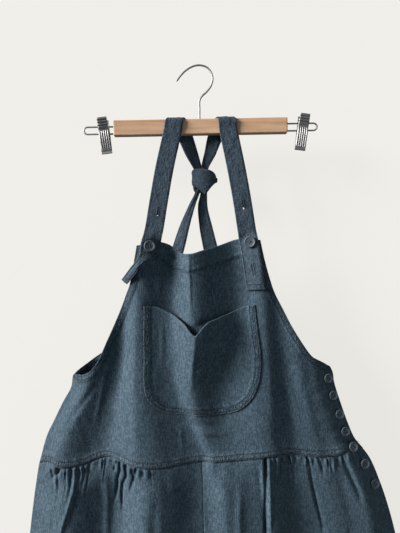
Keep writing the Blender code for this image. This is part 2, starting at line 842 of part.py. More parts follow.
def box(name, size, place, bevel, material):
    bpy.ops.mesh.primitive_cube_add(size=1)
    thing = bpy.context.object
    thing.name = name
    thing.data.name = name
    thing.data.transform(Matrix.Diagonal((*size, 1)))
    for holder in thing.users_collection:
        holder.objects.unlink(thing)
    garment.objects.link(thing)
    thing.data.materials.append(material)
    edge = thing.modifiers.new("edges", "BEVEL")
    edge.width = bevel
    edge.segments = 3
    thing.matrix_world = place
    return thing


def clip_leaf(name, side, place, material):
    """A stamped leaf of a clip: a ribbed strip of sheet metal; side is -1 for the front leaf and 1 behind."""
    faces = []
    for shift in (0.0, CLIP_SHEET / MM):
        rows = []
        for height, depth in CLIP_LEAF:
            wide = CLIP_WIDTH / MM * (0.94 if height > 20 else 1.0)
            out = -side * (depth - shift)
            rows.append([(wide * share, out, height) for share in (-0.5, -0.17, 0.17, 0.5)])
        faces.append(rows)
    thing = solid(name, faces[0], faces[1], material)
    thing.matrix_world = place
    return thing


def make_material(name, colour, roughness, metallic):
    material = bpy.data.materials.new(name)
    material.use_nodes = True
    shader = material.node_tree.nodes["Principled BSDF"]
    shader.inputs["Base Color"].default_value = (*colour, 1)
    shader.inputs["Roughness"].default_value = roughness
    shader.inputs["Metallic"].default_value = metallic
    material.diffuse_color = (*colour, 1)
    return material


for thing in list(bpy.data.objects):
    bpy.data.objects.remove(thing, do_unlink=True)

garment = bpy.data.collections.new("linen_overalls")
bpy.context.scene.collection.children.link(garment)

linen = make_material("indigo_linen", (0.045, 0.075, 0.11), 0.85, 0.0)
button_resin = make_material("button_resin", (0.035, 0.05, 0.075), 0.45, 0.0)
bare_wood = make_material("bare_wood", (0.56, 0.36, 0.22), 0.6, 0.0)
steel = make_material("bright_steel", (0.62, 0.62, 0.63), 0.28, 1.0)

# Bodice
bib_rows = panel_rows(BIB_ROWS, FRONT_FOLDS, TOP_EDGE, WAIST, BIB_PITCH, EDGE_FADE)
bib = wall("bib_front", bib_rows, front_of_bodice, 1, linen)
back_rows = panel_rows(BACK_ROWS, BACK_FOLDS, BACK_TOP, WAIST, BACK_PITCH, EDGE_FADE)
back = wall("back_bodice", back_rows, back_of_bodice, -1, linen)
bpy.context.view_layer.update()
on_bib = face_of([bib], -200, front_of_bodice)
in_back = face_of([back], 0, lambda x, z: back_of_bodice(x, z) - 1.1 * CLOTH / MM)
pocket_rows = panel_rows(POCKET_ROWS, FRONT_FOLDS, POCKET_MOUTH, None, BIB_PITCH, MOUTH_FADE)
wall("bib_pocket", pocket_rows, pocket_surface, 1, linen)

# Trouser panels
legs = {}
for leg in LEG_FOLDS:
    inward = 1 if leg.startswith("front") else -1
    legs[leg] = wall(leg, leg_rows(leg), lambda x, z, leg=leg: leg_surface(leg, x, z), inward, linen)

# Straps and their knot
straps = {
    "left": band("strap_left_front", STRAP_LEFT, linen, STRAP_LEFT_END, on_bib, -1),
    "right": band("strap_right_front", STRAP_RIGHT, linen, STRAP_RIGHT_END, on_bib, -1),
}
band("strap_left_back", STRAP_LEFT_BACK, linen, STRAP_LEFT_BACK_END, in_back, -1)
band("strap_right_back", STRAP_RIGHT_BACK, linen, STRAP_RIGHT_BACK_END, in_back, -1)
knot("strap_knot", linen)

# Buttons
bpy.context.view_layer.update()
for name, strap, across, height in STRAP_BUTTONS:
    face = face_of([straps[strap]], -200, on_bib)
    middle = Vector((across, face(across, height), height))
    out = surface_out(face, across, height, 6.0)
    middle += out * (clearance(face, middle, out, STRAP_BUTTON / MM) + GAP / MM)
    button(name, STRAP_BUTTON, middle * MM, out, button_resin)
face = face_of([bib, legs["front_leg_right"]], -200, lambda x, z: leg_surface("front_leg_right", x, z))
for number, (across, height) in enumerate(SIDE_BUTTONS, 1):
    middle = Vector((across, face(across, height), height))
    out = surface_out(face, across, height, 4.0)
    middle += out * (clearance(face, middle, out, SIDE_BUTTON / MM) + GAP / MM)
    button("side_button_%d" % number, SIDE_BUTTON, middle * MM, out, button_resin)

# Hanger
bar_place = Matrix.Translation(BAR_MIDDLE) @ Matrix.Rotation(-BAR_TILT, 4, "Y")
bar = box("hanger_bar", (BAR_LENGTH, BAR_DEPTH, BAR_HEIGHT), bar_place, BAR_BEVEL, bare_wood)
hook_points = rounded([(x * MM, 0, z * MM) for x, z in HOOK_LINE], 4)
wire("hanger_hook", hook_points, HOOK_WIRE, steel)

bpy.ops.mesh.primitive_cylinder_add(vertices=24, radius=HOOK_WIRE + GAP, depth=0.04)
bore = bpy.context.object
bore.name = "hook_bore_cutter"
bore.location = (0, 0, HOOK_LINE[-1][1] * MM - GAP + 0.02)
bore.hide_render = True
bore.display_type = "WIRE"
cut = bar.modifiers.new("hook_bore", "BOOLEAN")
cut.operation = "DIFFERENCE"
cut.solver = "EXACT"
cut.object = bore

for side, name in ((-1, "left"), (1, "right")):
    end = bar_place @ Vector((side * (BAR_LENGTH / 2 + GAP), 0, -RAIL_DROP))
    length = RAIL_LENGTH
    bend = RAIL_SPREAD / 2
    rail = [(0, bend), (length - bend, bend)]
    round_end = [k * math.pi / 8 for k in range(1, 8)]
    rail += [(length - bend + bend * math.sin(angle), bend * math.cos(angle)) for angle in round_end]
    rail += [(length - bend, -bend), (0, -bend)]
    turn = Matrix.Rotation(-BAR_TILT, 4, "Y")
    wire("clip_rail_" + name, [end + turn @ Vector((side * x, 0, z)) for x, z in rail], RAIL_WIRE, steel, 2)

for name, across, height, lean in (("left", -151.5, -112.3, -7.6), ("right", 164, -106.5, 7.0)):
    place = Matrix.Translation((across * MM, 0, height * MM)) @ Matrix.Rotation(math.radians(lean), 4, "Y")
    clip_leaf("clip_front_" + name, -1, place, steel)
    clip_leaf("clip_back_" + name, 1, place, steel)
    pin = turned(
        "clip_pin_" + name,
        [(0, CLIP_WIDTH / 2), (CLIP_PIN, CLIP_WIDTH / 2), (CLIP_PIN, -CLIP_WIDTH / 2), (0, -CLIP_WIDTH / 2)],
        16,
        place @ Matrix.Translation((0, 0, PIN_RISE)) @ Matrix.Rotation(math.radians(90), 4, "Y"),
        steel,
    )
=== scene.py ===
"""Linen overalls that hang by their knotted straps from a clip hanger, in front of a pale wall.

Tables and shape functions are in millimetres, as a maker would mark them, with X to the right as seen, Y away
from the viewer and Z up. A mesh is made in metres.
"""
import math

import bmesh
import bpy
import numpy as np
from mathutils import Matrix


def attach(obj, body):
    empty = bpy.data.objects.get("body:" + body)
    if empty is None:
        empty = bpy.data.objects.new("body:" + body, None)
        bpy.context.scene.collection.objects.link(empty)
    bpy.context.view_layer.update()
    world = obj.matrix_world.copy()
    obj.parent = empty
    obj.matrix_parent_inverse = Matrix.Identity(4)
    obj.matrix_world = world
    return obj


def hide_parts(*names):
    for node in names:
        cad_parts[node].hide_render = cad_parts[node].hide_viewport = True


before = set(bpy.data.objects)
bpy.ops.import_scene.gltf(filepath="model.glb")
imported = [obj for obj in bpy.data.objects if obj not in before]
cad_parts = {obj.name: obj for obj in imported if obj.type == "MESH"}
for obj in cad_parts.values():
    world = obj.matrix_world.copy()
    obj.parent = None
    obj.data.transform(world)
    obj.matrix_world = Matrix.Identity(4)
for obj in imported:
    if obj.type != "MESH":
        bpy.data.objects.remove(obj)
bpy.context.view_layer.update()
scene = bpy.context.scene

# The view. The camera stands level with the bib and 750 mm in front of it, square to the wall.
eye = bpy.data.cameras.new("eye")
eye.sensor_width = 36
eye.lens = 31.66
camera = bpy.data.objects.new("camera", eye)
camera.location = (0.0008, -0.75, -0.3205)
camera.rotation_euler = (math.radians(90), 0, 0)
scene.collection.objects.link(camera)
scene.camera = camera
scene.view_settings.view_transform = "Standard"


# The light. A wide, soft window light comes from high on the left and grazes the wall. The pale room fills
# the shade with a cooler light, and a little light comes back from the right.
def lamp(name, kind, place, aim, **settings):
    data = bpy.data.lights.new(name, kind)
    for key, value in settings.items():
        setattr(data, key, value)
    thing = bpy.data.objects.new(name, data)
    thing.location = place
    run = np.subtract(aim, place)
    thing.rotation_euler = (
        math.acos(-run[2] / np.linalg.norm(run)),
        0,
        math.atan2(run[1], run[0]) - math.pi / 2,
    )
    scene.collection.objects.link(thing)
    return thing


lamp(
    "window",
    "SUN",
    (-2.0, -0.62, 0.35),
    (0, 0, -0.45),
    energy=8.8,
    angle=math.radians(26),
    color=(1, 0.985, 0.96),
)
lamp("room", "AREA", (1.2, -2.4, 0.1), (0, 0, -0.6), energy=3, size=1.8, color=(0.93, 0.97, 1.0))
lamp("return", "AREA", (0.95, -0.75, -0.5), (0.25, 0, -0.55), energy=1.4, size=0.7, color=(1, 0.99, 0.97))

room = bpy.data.worlds.new("room")
scene.world = room
room.use_nodes = True
tree = room.node_tree
air = tree.nodes["Background"]
air.inputs["Color"].default_value = (0.82, 0.93, 1.0, 1)
air.inputs["Strength"].default_value = 0.17
seen = tree.nodes.new("ShaderNodeBackground")
seen.inputs["Color"].default_value = (0.84, 0.83, 0.80, 1)
which = tree.nodes.new("ShaderNodeLightPath")
blend = tree.nodes.new("ShaderNodeMixShader")
tree.links.new(which.outputs["Is Camera Ray"], blend.inputs[0])
tree.links.new(air.outputs[0], blend.inputs[1])
tree.links.new(seen.outputs[0], blend.inputs[2])
tree.links.new(blend.outputs[0], tree.nodes["World Output"].inputs[0])

# The wall and the floor, both plain and pale. Each is seen only from its front, and neither throws light back
# on the garment or keeps it from the light behind.
def pale_sheet(name, corners, colour, glow):
    data = bpy.data.meshes.new(name)
    data.from_pydata(corners, [], [(0, 1, 2, 3)])
    thing = bpy.data.objects.new(name, data)
    scene.collection.objects.link(thing)
    paint = bpy.data.materials.new(name)
    paint.use_nodes = True
    nodes, links = paint.node_tree.nodes, paint.node_tree.links
    shader = nodes["Principled BSDF"]
    shader.inputs["Base Color"].default_value = (0.09, 0.09, 0.09, 1)
    shader.inputs["Roughness"].default_value = 0.9
    shader.inputs["Specular IOR Level"].default_value = 0.1
    shader.inputs["Emission Color"].default_value = (*colour, 1)
    shader.inputs["Emission Strength"].default_value = glow
    clear = nodes.new("ShaderNodeBsdfTransparent")
    path = nodes.new("ShaderNodeLightPath")
    side = nodes.new("ShaderNodeNewGeometry")
    front = nodes.new("ShaderNodeMath")
    front.operation = "SUBTRACT"
    front.use_clamp = True
    mix = nodes.new("ShaderNodeMixShader")
    links.new(path.outputs["Is Camera Ray"], front.inputs[0])
    links.new(side.outputs["Backfacing"], front.inputs[1])
    links.new(front.outputs[0], mix.inputs[0])
    links.new(clear.outputs[0], mix.inputs[1])
    links.new(shader.outputs[0], mix.inputs[2])
    links.new(mix.outputs[0], nodes["Material Output"].inputs[0])
    data.materials.append(paint)


WALL_DEPTH = 0.052
FLOOR = -1.625
pale_sheet(
    "wall",
    [(-2.5, WALL_DEPTH, FLOOR), (2.5, WALL_DEPTH, FLOOR), (2.5, WALL_DEPTH, 1.2), (-2.5, WALL_DEPTH, 1.2)],
    (0.78, 0.765, 0.725),
    1.0,
)
pale_sheet("floor", [(-3, -3, FLOOR), (3, -3, FLOOR), (3, 3, FLOOR), (-3, 3, FLOOR)], (0.66, 0.64, 0.61), 0.9)


# The cloth. Washed linen in a slate indigo: uneven threads, paler slubs along and across, a worn, paler line
#  along every seam and edge, and painted shade in the stitch grooves and pucker hollows. The pattern follows
#  each piece's own map, in metres.
def added(tree, kind, inputs=None, **settings):
    """A node with its settings, and then with the values of its inputs."""
    node = tree.nodes.new(kind)
    for key, value in settings.items():
        setattr(node, key, value)
    for key, value in (inputs or {}).items():
        node.inputs[key].default_value = value
    return node


def link_all(tree, pairs):
    for out, into in pairs:
        tree.links.new(out, into)


def open_group(name, takes, gives):
    """A new group with its sockets and its two end nodes. The Map socket takes a place, the others a
    number."""
    group = bpy.data.node_groups.new(name, "ShaderNodeTree")
    for way, sockets in (("INPUT", takes), ("OUTPUT", gives)):
        for socket in sockets:
            kind = "NodeSocketVector" if socket == "Map" else "NodeSocketFloat"
            group.interface.new_socket(socket, in_out=way, socket_type=kind)
    return group, added(group, "NodeGroupInput"), added(group, "NodeGroupOutput")


def weave_group():
    """Threads as fine waves each way, slubs as noise drawn out along each thread, broad cloudy patches, and a
    fine crinkle in the height alone."""
    group, start, end = open_group("linen weave", ["Map", "Slubs"], ["Shade", "Height"])
    streaks = []
    for scale in ((620, 110, 1), (110, 620, 1), (420, 300, 1), (150, 40, 1)):
        stretch = added(group, "ShaderNodeVectorMath", {1: scale}, operation="MULTIPLY")
        noise = added(group, "ShaderNodeTexNoise", {"Scale": 1.0, "Detail": 2.0, "Roughness": 0.6})
        group.links.new(start.outputs["Map"], stretch.inputs[0])
        group.links.new(stretch.outputs[0], noise.inputs["Vector"])
        streaks.append(noise.outputs["Fac"])
    cloud = added(group, "ShaderNodeTexNoise", {"Scale": 34, "Detail": 3})
    group.links.new(start.outputs["Map"], cloud.inputs["Vector"])
    crinkle = added(group, "ShaderNodeTexNoise", {"Scale": 260, "Detail": 4, "Roughness": 0.65})
    group.links.new(start.outputs["Map"], crinkle.inputs["Vector"])
    threads = []
    for direction in ("X", "Y"):
        wave = added(
            group,
            "ShaderNodeTexWave",
            {"Scale": 400, "Distortion": 1.6, "Detail": 1.0, "Detail Scale": 0.4},
            bands_direction=direction,
        )
        group.links.new(start.outputs["Map"], wave.inputs["Vector"])
        threads.append(wave.outputs["Fac"])

    def sum_of(parts):
        total = None
        for value, share in parts:
            part = added(group, "ShaderNodeMath", {1: share}, operation="MULTIPLY_ADD")
            group.links.new(value, part.inputs[0])
            if total is None:
                part.inputs[2].default_value = 0
            else:
                group.links.new(total, part.inputs[2])
            total = part.outputs[0]
        return total

    slubs = sum_of([(streaks[0], 0.42), (streaks[1], 0.16), (streaks[2], 0.3), (streaks[3], 0.12)])
    spread = added(
        group,
        "ShaderNodeMapRange",
        {"From Min": 0.42, "From Max": 0.6},
        interpolation_type="SMOOTHSTEP",
    )
    group.links.new(slubs, spread.inputs["Value"])
    uneven = added(group, "ShaderNodeMix", {"A": 0.5}, data_type="FLOAT")
    link_all(
        group,
        [
            (start.outputs["Slubs"], uneven.inputs["Factor"]),
            (spread.outputs["Result"], uneven.inputs["B"]),
        ],
    )
    shade = sum_of([(uneven.outputs["Result"], 0.75), (cloud.outputs["Fac"], 0.25)])
    height = sum_of(
        [
            (threads[0], 0.1),
            (threads[1], 0.1),
            (spread.outputs["Result"], 0.35),
            (crinkle.outputs["Fac"], 1.1),
        ]
    )
    link_all(group, [(shade, end.inputs["Shade"]), (height, end.inputs["Height"])])
    return group


def wear_group():
    """Wear from the piece's own attribute, broken up by noise so that a worn edge is patchy."""
    group, start, end = open_group("edge wear", ["Edge", "Map", "Amount"], ["Wear"])
    noise = added(group, "ShaderNodeTexNoise", {"Scale": 240, "Detail": 3})
    patch = added(group, "ShaderNodeMapRange", {"From Min": 0.3, "From Max": 0.65, "To Min": 0.25})
    times = added(group, "ShaderNodeMath", operation="MULTIPLY")
    amount = added(group, "ShaderNodeMath", operation="MULTIPLY", use_clamp=True)
    link_all(
        group,
        [
            (start.outputs["Map"], noise.inputs["Vector"]),
            (noise.outputs["Fac"], patch.inputs["Value"]),
            (patch.outputs["Result"], times.inputs[0]),
            (start.outputs["Edge"], times.inputs[1]),
            (times.outputs[0], amount.inputs[0]),
            (start.outputs["Amount"], amount.inputs[1]),
            (amount.outputs[0], end.inputs["Wear"]),
        ],
    )
    return group


def sewn_group():
    """Two rows of stitches that wander about 2.2 and 8.2 mm from a sewn edge, as broken grooves, and the
    puckers they pull up: noise that fades out past the second row. Painted shade darkens the colour in the
    stitch grooves and in the puckers' hollows, and goes out on the first output. The distance from the edge
    comes in millimetres."""
    group, start, end = open_group("sewn rows", ["Distance", "Map", "Puckers"], ["Groove", "Height"])
    drift = added(group, "ShaderNodeTexNoise", {"Scale": 160})
    wander = added(group, "ShaderNodeMath", {1: 2.0}, operation="MULTIPLY_ADD")
    between = added(group, "ShaderNodeMath", {1: 6.2}, operation="SUBTRACT")
    off = added(group, "ShaderNodeMath", operation="ABSOLUTE")
    nearer = added(group, "ShaderNodeMath", {1: 3.0}, operation="SUBTRACT")
    away = added(group, "ShaderNodeMath", operation="ABSOLUTE")
    groove = added(
        group,
        "ShaderNodeMapRange",
        {"From Min": 1.1, "From Max": 0.1},
        interpolation_type="SMOOTHSTEP",
    )
    band = added(
        group,
        "ShaderNodeMapRange",
        {"From Min": 14, "From Max": 8},
        interpolation_type="SMOOTHSTEP",
    )
    pucker = added(group, "ShaderNodeTexNoise", {"Scale": 330, "Detail": 2})
    broken = added(
        group,
        "ShaderNodeMapRange",
        {"From Min": 0.4, "From Max": 0.56, "To Min": 0.2},
        interpolation_type="SMOOTHSTEP",
    )
    stitch = added(group, "ShaderNodeMath", operation="MULTIPLY")
    # Painted shade in the puckers' hollows: the lower the pucker noise, the darker the colour.
    hollow_shade = added(
        group,
        "ShaderNodeMapRange",
        {"From Min": 0.5, "From Max": 0.36, "To Max": 0.5},
        interpolation_type="SMOOTHSTEP",
    )
    # All the painted shade: the hollows' shade times the puckers' strength, plus the broken stitch grooves.
    dark = added(group, "ShaderNodeMath", operation="MULTIPLY_ADD", use_clamp=True)
    strength = added(group, "ShaderNodeMath", operation="MULTIPLY")
    lifted = added(group, "ShaderNodeMath", operation="MULTIPLY")
    sunk = added(group, "ShaderNodeMath", {1: -0.5}, operation="MULTIPLY_ADD")
    link_all(
        group,
        [
            (start.outputs["Map"], drift.inputs["Vector"]),
            (drift.outputs["Fac"], wander.inputs[0]),
            (start.outputs["Distance"], wander.inputs[2]),
            (wander.outputs[0], between.inputs[0]),
            (between.outputs[0], off.inputs[0]),
            (off.outputs[0], nearer.inputs[0]),
            (nearer.outputs[0], away.inputs[0]),
            (away.outputs[0], groove.inputs["Value"]),
            (start.outputs["Distance"], band.inputs["Value"]),
            (start.outputs["Map"], pucker.inputs["Vector"]),
            (pucker.outputs["Fac"], broken.inputs["Value"]),
            (groove.outputs["Result"], stitch.inputs[0]),
            (broken.outputs["Result"], stitch.inputs[1]),
            (band.outputs["Result"], strength.inputs[0]),
            (start.outputs["Puckers"], strength.inputs[1]),
            (strength.outputs[0], lifted.inputs[0]),
            (pucker.outputs["Fac"], lifted.inputs[1]),
            (stitch.outputs[0], sunk.inputs[0]),
            (lifted.outputs[0], sunk.inputs[2]),
            (pucker.outputs["Fac"], hollow_shade.inputs["Value"]),
            (hollow_shade.outputs["Result"], dark.inputs[0]),
            (strength.outputs[0], dark.inputs[1]),
            (stitch.outputs[0], dark.inputs[2]),
            (dark.outputs[0], end.inputs["Groove"]),
            (sunk.outputs[0], end.inputs["Height"]),
        ],
    )
    return group


WEAVE = weave_group()
WEAR = wear_group()
SEWN = sewn_group()


def linen(name, deep, pale, worn, slubs=1.0, wear=0.45, bump=0.7, puckers=1.6):
    """A linen finish between two tones, with its worn tone along edges and painted shade in its stitch
    grooves and pucker hollows.
    """
    cloth = bpy.data.materials.new(name)
    cloth.use_nodes = True
    tree = cloth.node_tree
    shader = tree.nodes["Principled BSDF"]
    own_map = added(tree, "ShaderNodeUVMap", uv_map="cloth")
    weave = added(tree, "ShaderNodeGroup", {"Slubs": slubs}, node_tree=WEAVE)
    edge = added(tree, "ShaderNodeAttribute", attribute_name="worn")
    worn_group = added(tree, "ShaderNodeGroup", {"Amount": wear}, node_tree=WEAR)
    tone = added(tree, "ShaderNodeMix", {"A": (*deep, 1), "B": (*pale, 1)}, data_type="RGBA")
    rubbed = added(tree, "ShaderNodeMix", {"B": (*worn, 1)}, data_type="RGBA")
    distance = added(tree, "ShaderNodeAttribute", attribute_name="sewn")
    sewn = added(tree, "ShaderNodeGroup", {"Puckers": puckers}, node_tree=SEWN)
    # Painted shade: the colour is multiplied darker in the stitch grooves and the puckers' hollows.
    shaded = added(
        tree,
        "ShaderNodeMix",
        {"B": (0.32, 0.36, 0.4, 1)},
        data_type="RGBA",
        blend_type="MULTIPLY",
    )
    dry = added(tree, "ShaderNodeMapRange", {"To Min": 0.78, "To Max": 0.94})
    rows = added(tree, "ShaderNodeBump", {"Strength": 0.9, "Distance": 0.0026})
    relief = added(tree, "ShaderNodeBump", {"Strength": bump, "Distance": 0.0008})
    link_all(
        tree,
        [
            (own_map.outputs["UV"], weave.inputs["Map"]),
            (own_map.outputs["UV"], worn_group.inputs["Map"]),
            (edge.outputs["Fac"], worn_group.inputs["Edge"]),
            (weave.outputs["Shade"], tone.inputs["Factor"]),
            (tone.outputs["Result"], rubbed.inputs["A"]),
            (worn_group.outputs["Wear"], rubbed.inputs["Factor"]),
            (distance.outputs["Fac"], sewn.inputs["Distance"]),
            (own_map.outputs["UV"], sewn.inputs["Map"]),
            (sewn.outputs["Groove"], shaded.inputs["Factor"]),
            (rubbed.outputs["Result"], shaded.inputs["A"]),
            (shaded.outputs["Result"], shader.inputs["Base Color"]),
            (weave.outputs["Shade"], dry.inputs["Value"]),
            (dry.outputs["Result"], shader.inputs["Roughness"]),
            (sewn.outputs["Height"], rows.inputs["Height"]),
            (rows.outputs["Normal"], relief.inputs["Normal"]),
            (weave.outputs["Height"], relief.inputs["Height"]),
            (relief.outputs["Normal"], shader.inputs["Normal"]),
        ],
    )
    shader.inputs["Specular IOR Level"].default_value = 0.2
    shader.inputs["Sheen Weight"].default_value = 0.05
    shader.inputs["Sheen Roughness"].default_value = 0.45
    return cloth


LINEN = linen("slate linen", (0.014, 0.032, 0.047), (0.070, 0.105, 0.138), (0.12, 0.16, 0.195))
STRAP_LINEN = linen(
    "strap linen",
    (0.018, 0.032, 0.048),
    (0.060, 0.087, 0.116),
    (0.11, 0.145, 0.17),
    bump=0.5,
    puckers=0.4,
)
THREAD = linen("sewing thread", (0.030, 0.046, 0.06), (0.062, 0.09, 0.115), (0.1, 0.13, 0.16), 0.5, 0.0, 0.6)

# The body of the garment as it hangs: height, outline to the left and right, then the depth of the side
# seams, of the front and of the back. Every cloth piece below reads its place from this table.
BODY = np.array(
    [
        (-1605, -258, 292, -4, -38, 26),
        (-1450, -262, 297, -4, -39, 27),
        (-1280, -268, 304, -4, -40, 27),
        (-1100, -278, 316, -4, -42, 28),
        (-965, -284, 324, -4, -44, 30),
        (-870, -282, 325, -4, -46, 30),
        (-780, -273, 318, -4, -46, 30),
        (-705, -265, 301, -4, -46, 29),
        (-660, -259, 286, -4, -45, 28),
        (-620, -252, 268, -4, -42, 26),
        (-593, -244, 247, -4, -40, 25),
        (-555, -226, 231, -4, -38, 23),
        (-517, -206, 217, -4, -35, 21),
        (-490, -200, 210, -4, -32, 20),
        (-430, -203, 208, -4, -25, 17),
        (-350, -205, 206, -3, -17, 14),
        (-275, -205, 205, -2, -13, 12),
    ],
    float,
)
WAIST = np.array(
    [
        (-257, -633),
        (-238, -627),
        (-213, -631),
        (-185, -629),
        (-143, -616),
        (-106, -621),
        (-67, -624),
        (1, -619),
        (63, -613),
        (124, -607),
        (171, -611),
        (206, -611),
        (237, -604),
        (264, -610),
    ],
    float,
)
CLOTH = 1.2  # thickness of the linen


def smooth(share):
    share = np.clip(share, 0, 1)
    return share * share * (3 - 2 * share)


def through(places, values, at):
    """A smooth line through points: between two it is a cubic, whose slope at each is that of its
    neighbours."""
    places, values = np.asarray(places, float), np.asarray(values, float)
    if places[0] > places[-1]:
        places, values = places[::-1], values[::-1]
    slopes = np.gradient(values, places)
    at = np.clip(at, places[0], places[-1])
    cell = np.clip(np.searchsorted(places, at, side="right") - 1, 0, len(places) - 2)
    step = places[cell + 1] - places[cell]
    t = (at - places[cell]) / step
    return (
        values[cell] * (1 + 2 * t) * (1 - t) ** 2
        + values[cell + 1] * t**2 * (3 - 2 * t)
        + step * t * (1 - t) * (slopes[cell] * (1 - t) - slopes[cell + 1] * t)
    )


def body(z, index):
    return through(BODY[:, 0], BODY[:, index], z)


def waist(x):
    return through(WAIST[:, 0], WAIST[:, 1], x)


def folds(table, heights, x, z):
    """Broad folds: each row of the table is a crest or valley with its place and its rise at four heights,
    and the cloth runs in a soft S from each to the next."""
    places = [through(heights, row[:4], z) for row in table]
    rises = [through(heights, row[4:], z) for row in table]
    rise = rises[0] + 0 * x
    for k in range(len(table) - 1):
        share = (x - places[k]) / np.maximum(places[k + 1] - places[k], 1)
        rise = np.where(x > places[k], rises[k] + (rises[k + 1] - rises[k]) * smooth(share), rise)
    return rise


def creases(lines, x, z):
    """Creases placed one by one. Each has a width, a rise, a lean, how strong it is at its start, and its
    points. Its height is a bell across the line, tipped over by the lean, and it runs out along the line."""
    total = 0 * x
    for width, rise, lean, start, points in lines:
        points = np.array(points, float)
        lengths = np.hypot(*np.diff(points, axis=0).T)
        nearest, side, along = np.full(x.shape, 1e9), 0 * x, 0 * x
        done = 0
        for (ax, az), (bx, bz), length in zip(points, points[1:], lengths):
            t = np.clip(((x - ax) * (bx - ax) + (z - az) * (bz - az)) / length**2, 0, 1)
            dx, dz = x - ax - (bx - ax) * t, z - az - (bz - az) * t
            far = np.hypot(dx, dz)
            closer = far < nearest
            side = np.where(closer, np.sign(dx * (az - bz) - dz * (ax - bx)) * far, side)
            along = np.where(closer, (done + t * length) / lengths.sum(), along)
            nearest = np.minimum(nearest, far)
            done += length
        ends = (start + (1 - start) * smooth(along / 0.3)) * (1 - smooth((along - 0.55) / 0.45))
        bell = np.exp(-((nearest / width) ** 2))
        total += ends * bell * (rise + lean * side / width)
    return total


def crumple(x, z, wide, high, seed):
    """Soft random unevenness: seeded random values on a lattice, smoothly run together, from -1 to 1."""
    values = np.random.default_rng(seed).uniform(-1, 1, (97, 97))
    i, j = x / wide + 40, z / high + 40
    across, down = np.floor(i).astype(int), np.floor(j).astype(int)
    s, t = smooth(i - across), smooth(j - down)
    a, b = across % 96, down % 96
    low = values[a, b] * (1 - s) + values[a + 1, b] * s
    return low * (1 - t) + (values[a, b + 1] * (1 - s) + values[a + 1, b + 1] * s) * t


def away_from(line, x, z):
    """Distance of every point from a line of points."""
    line = np.asarray(line, float)
    nearest = np.full(x.shape, 1e9)
    for (ax, az), (bx, bz) in zip(line, line[1:]):
        t = np.clip(((x - ax) * (bx - ax) + (z - az) * (bz - az)) / ((bx - ax) ** 2 + (bz - az) ** 2), 0, 1)
        nearest = np.minimum(nearest, np.hypot(x - ax - (bx - ax) * t, z - az - (bz - az) * t))
    return nearest


def from_middle(x, z):
    left, right = body(z, 1), body(z, 2)
    return np.minimum(1, np.abs(x - (left + right) / 2) / ((right - left) / 2))


def stand(fullness, reach, rise):
    """How far a panel stands off the plane of the side seams; its folds fade out towards a seam."""
    return np.maximum(0, fullness * reach + rise * smooth(fullness / 0.4))


UNSEWN = 60.0  # a distance from every seam, past all stitched rows


def piece(name, points, quads, chart, worn, finish, sewn=None):
    """Puts computed points (millimetres) and faces into a mesh, with its map, its wear and its sewn edges."""
    data = bpy.data.meshes.new(name)
    data.vertices.add(len(points))
    data.vertices.foreach_set("co", (np.asarray(points, float) * 0.001).ravel())
    data.loops.add(quads.size)
    data.loops.foreach_set("vertex_index", quads.ravel())
    data.polygons.add(len(quads))
    data.polygons.foreach_set("loop_start", np.arange(0, quads.size, quads.shape[1]))
    data.polygons.foreach_set("use_smooth", np.ones(len(quads), bool))
    data.update(calc_edges=True)
    data.uv_layers.new(name="cloth").data.foreach_set("uv", (chart * 0.001)[quads.ravel()].ravel())
    data.attributes.new("worn", "FLOAT", "POINT").data.foreach_set("value", worn)
    far = np.full(len(points), UNSEWN) if sewn is None else sewn
    data.attributes.new("sewn", "FLOAT", "POINT").data.foreach_set("value", far)
    data.materials.append(finish)
    thing = bpy.data.objects.new(name, data)
    scene.collection.objects.link(thing)
    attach(thing, "root")
    return thing


def shell(name, shown, chart, worn, finish, sewn=None, thick=CLOTH, flip=False, keep=None, around=False):
    """A cloth sheet with thickness. The shown face is a grid of points; the other lies one thickness behind
    it, against the grid's own normals, and a rim closes every open edge between the two."""
    rows, columns, _ = shown.shape
    down = np.gradient(shown, axis=0)
    if around:
        across = (np.roll(shown, -1, axis=1) - np.roll(shown, 1, axis=1)) / 2
    else:
        across = np.gradient(shown, axis=1)
    normal = np.cross(down, across)
    normal /= np.maximum(np.linalg.norm(normal, axis=2, keepdims=True), 1e-9)
    hidden = shown - normal * np.asarray(thick)[..., None]
    index = np.arange(rows * columns).reshape(rows, columns)
    right = np.roll(index, -1, axis=1)
    a, b, c, d = index[:-1], right[:-1], right[1:], index[1:]
    faces = np.stack([a, d, c, b], axis=-1)
    if not around:
        faces = faces[:, :-1]
    if keep is not None:
        faces = faces[keep]
    front = faces.reshape(-1, 4)
    starts, ends = front.ravel(), np.roll(front, -1, axis=1).ravel()
    total = rows * columns
    open_edge = ~np.isin(starts * total + ends, ends * total + starts)
    starts, ends = starts[open_edge], ends[open_edge]
    rim = np.stack([ends, starts, starts + total, ends + total], axis=-1)
    quads = np.concatenate([front, front[:, ::-1] + total, rim])
    if flip:
        quads = quads[:, ::-1]
    points = np.concatenate([shown.reshape(-1, 3), hidden.reshape(-1, 3)])
    chart = chart.reshape(-1, 2)
    worn = np.ravel(worn)
    used = np.unique(quads)
    place = np.zeros(len(points), int)
    place[used] = np.arange(len(used))
    sewn = np.full(total, UNSEWN) if sewn is None else np.ravel(sewn)
    chart, worn, sewn = (np.concatenate([part, part])[used] for part in (chart, worn, sewn))
    return piece(name, points[used], place[quads], chart, worn, finish, sewn)


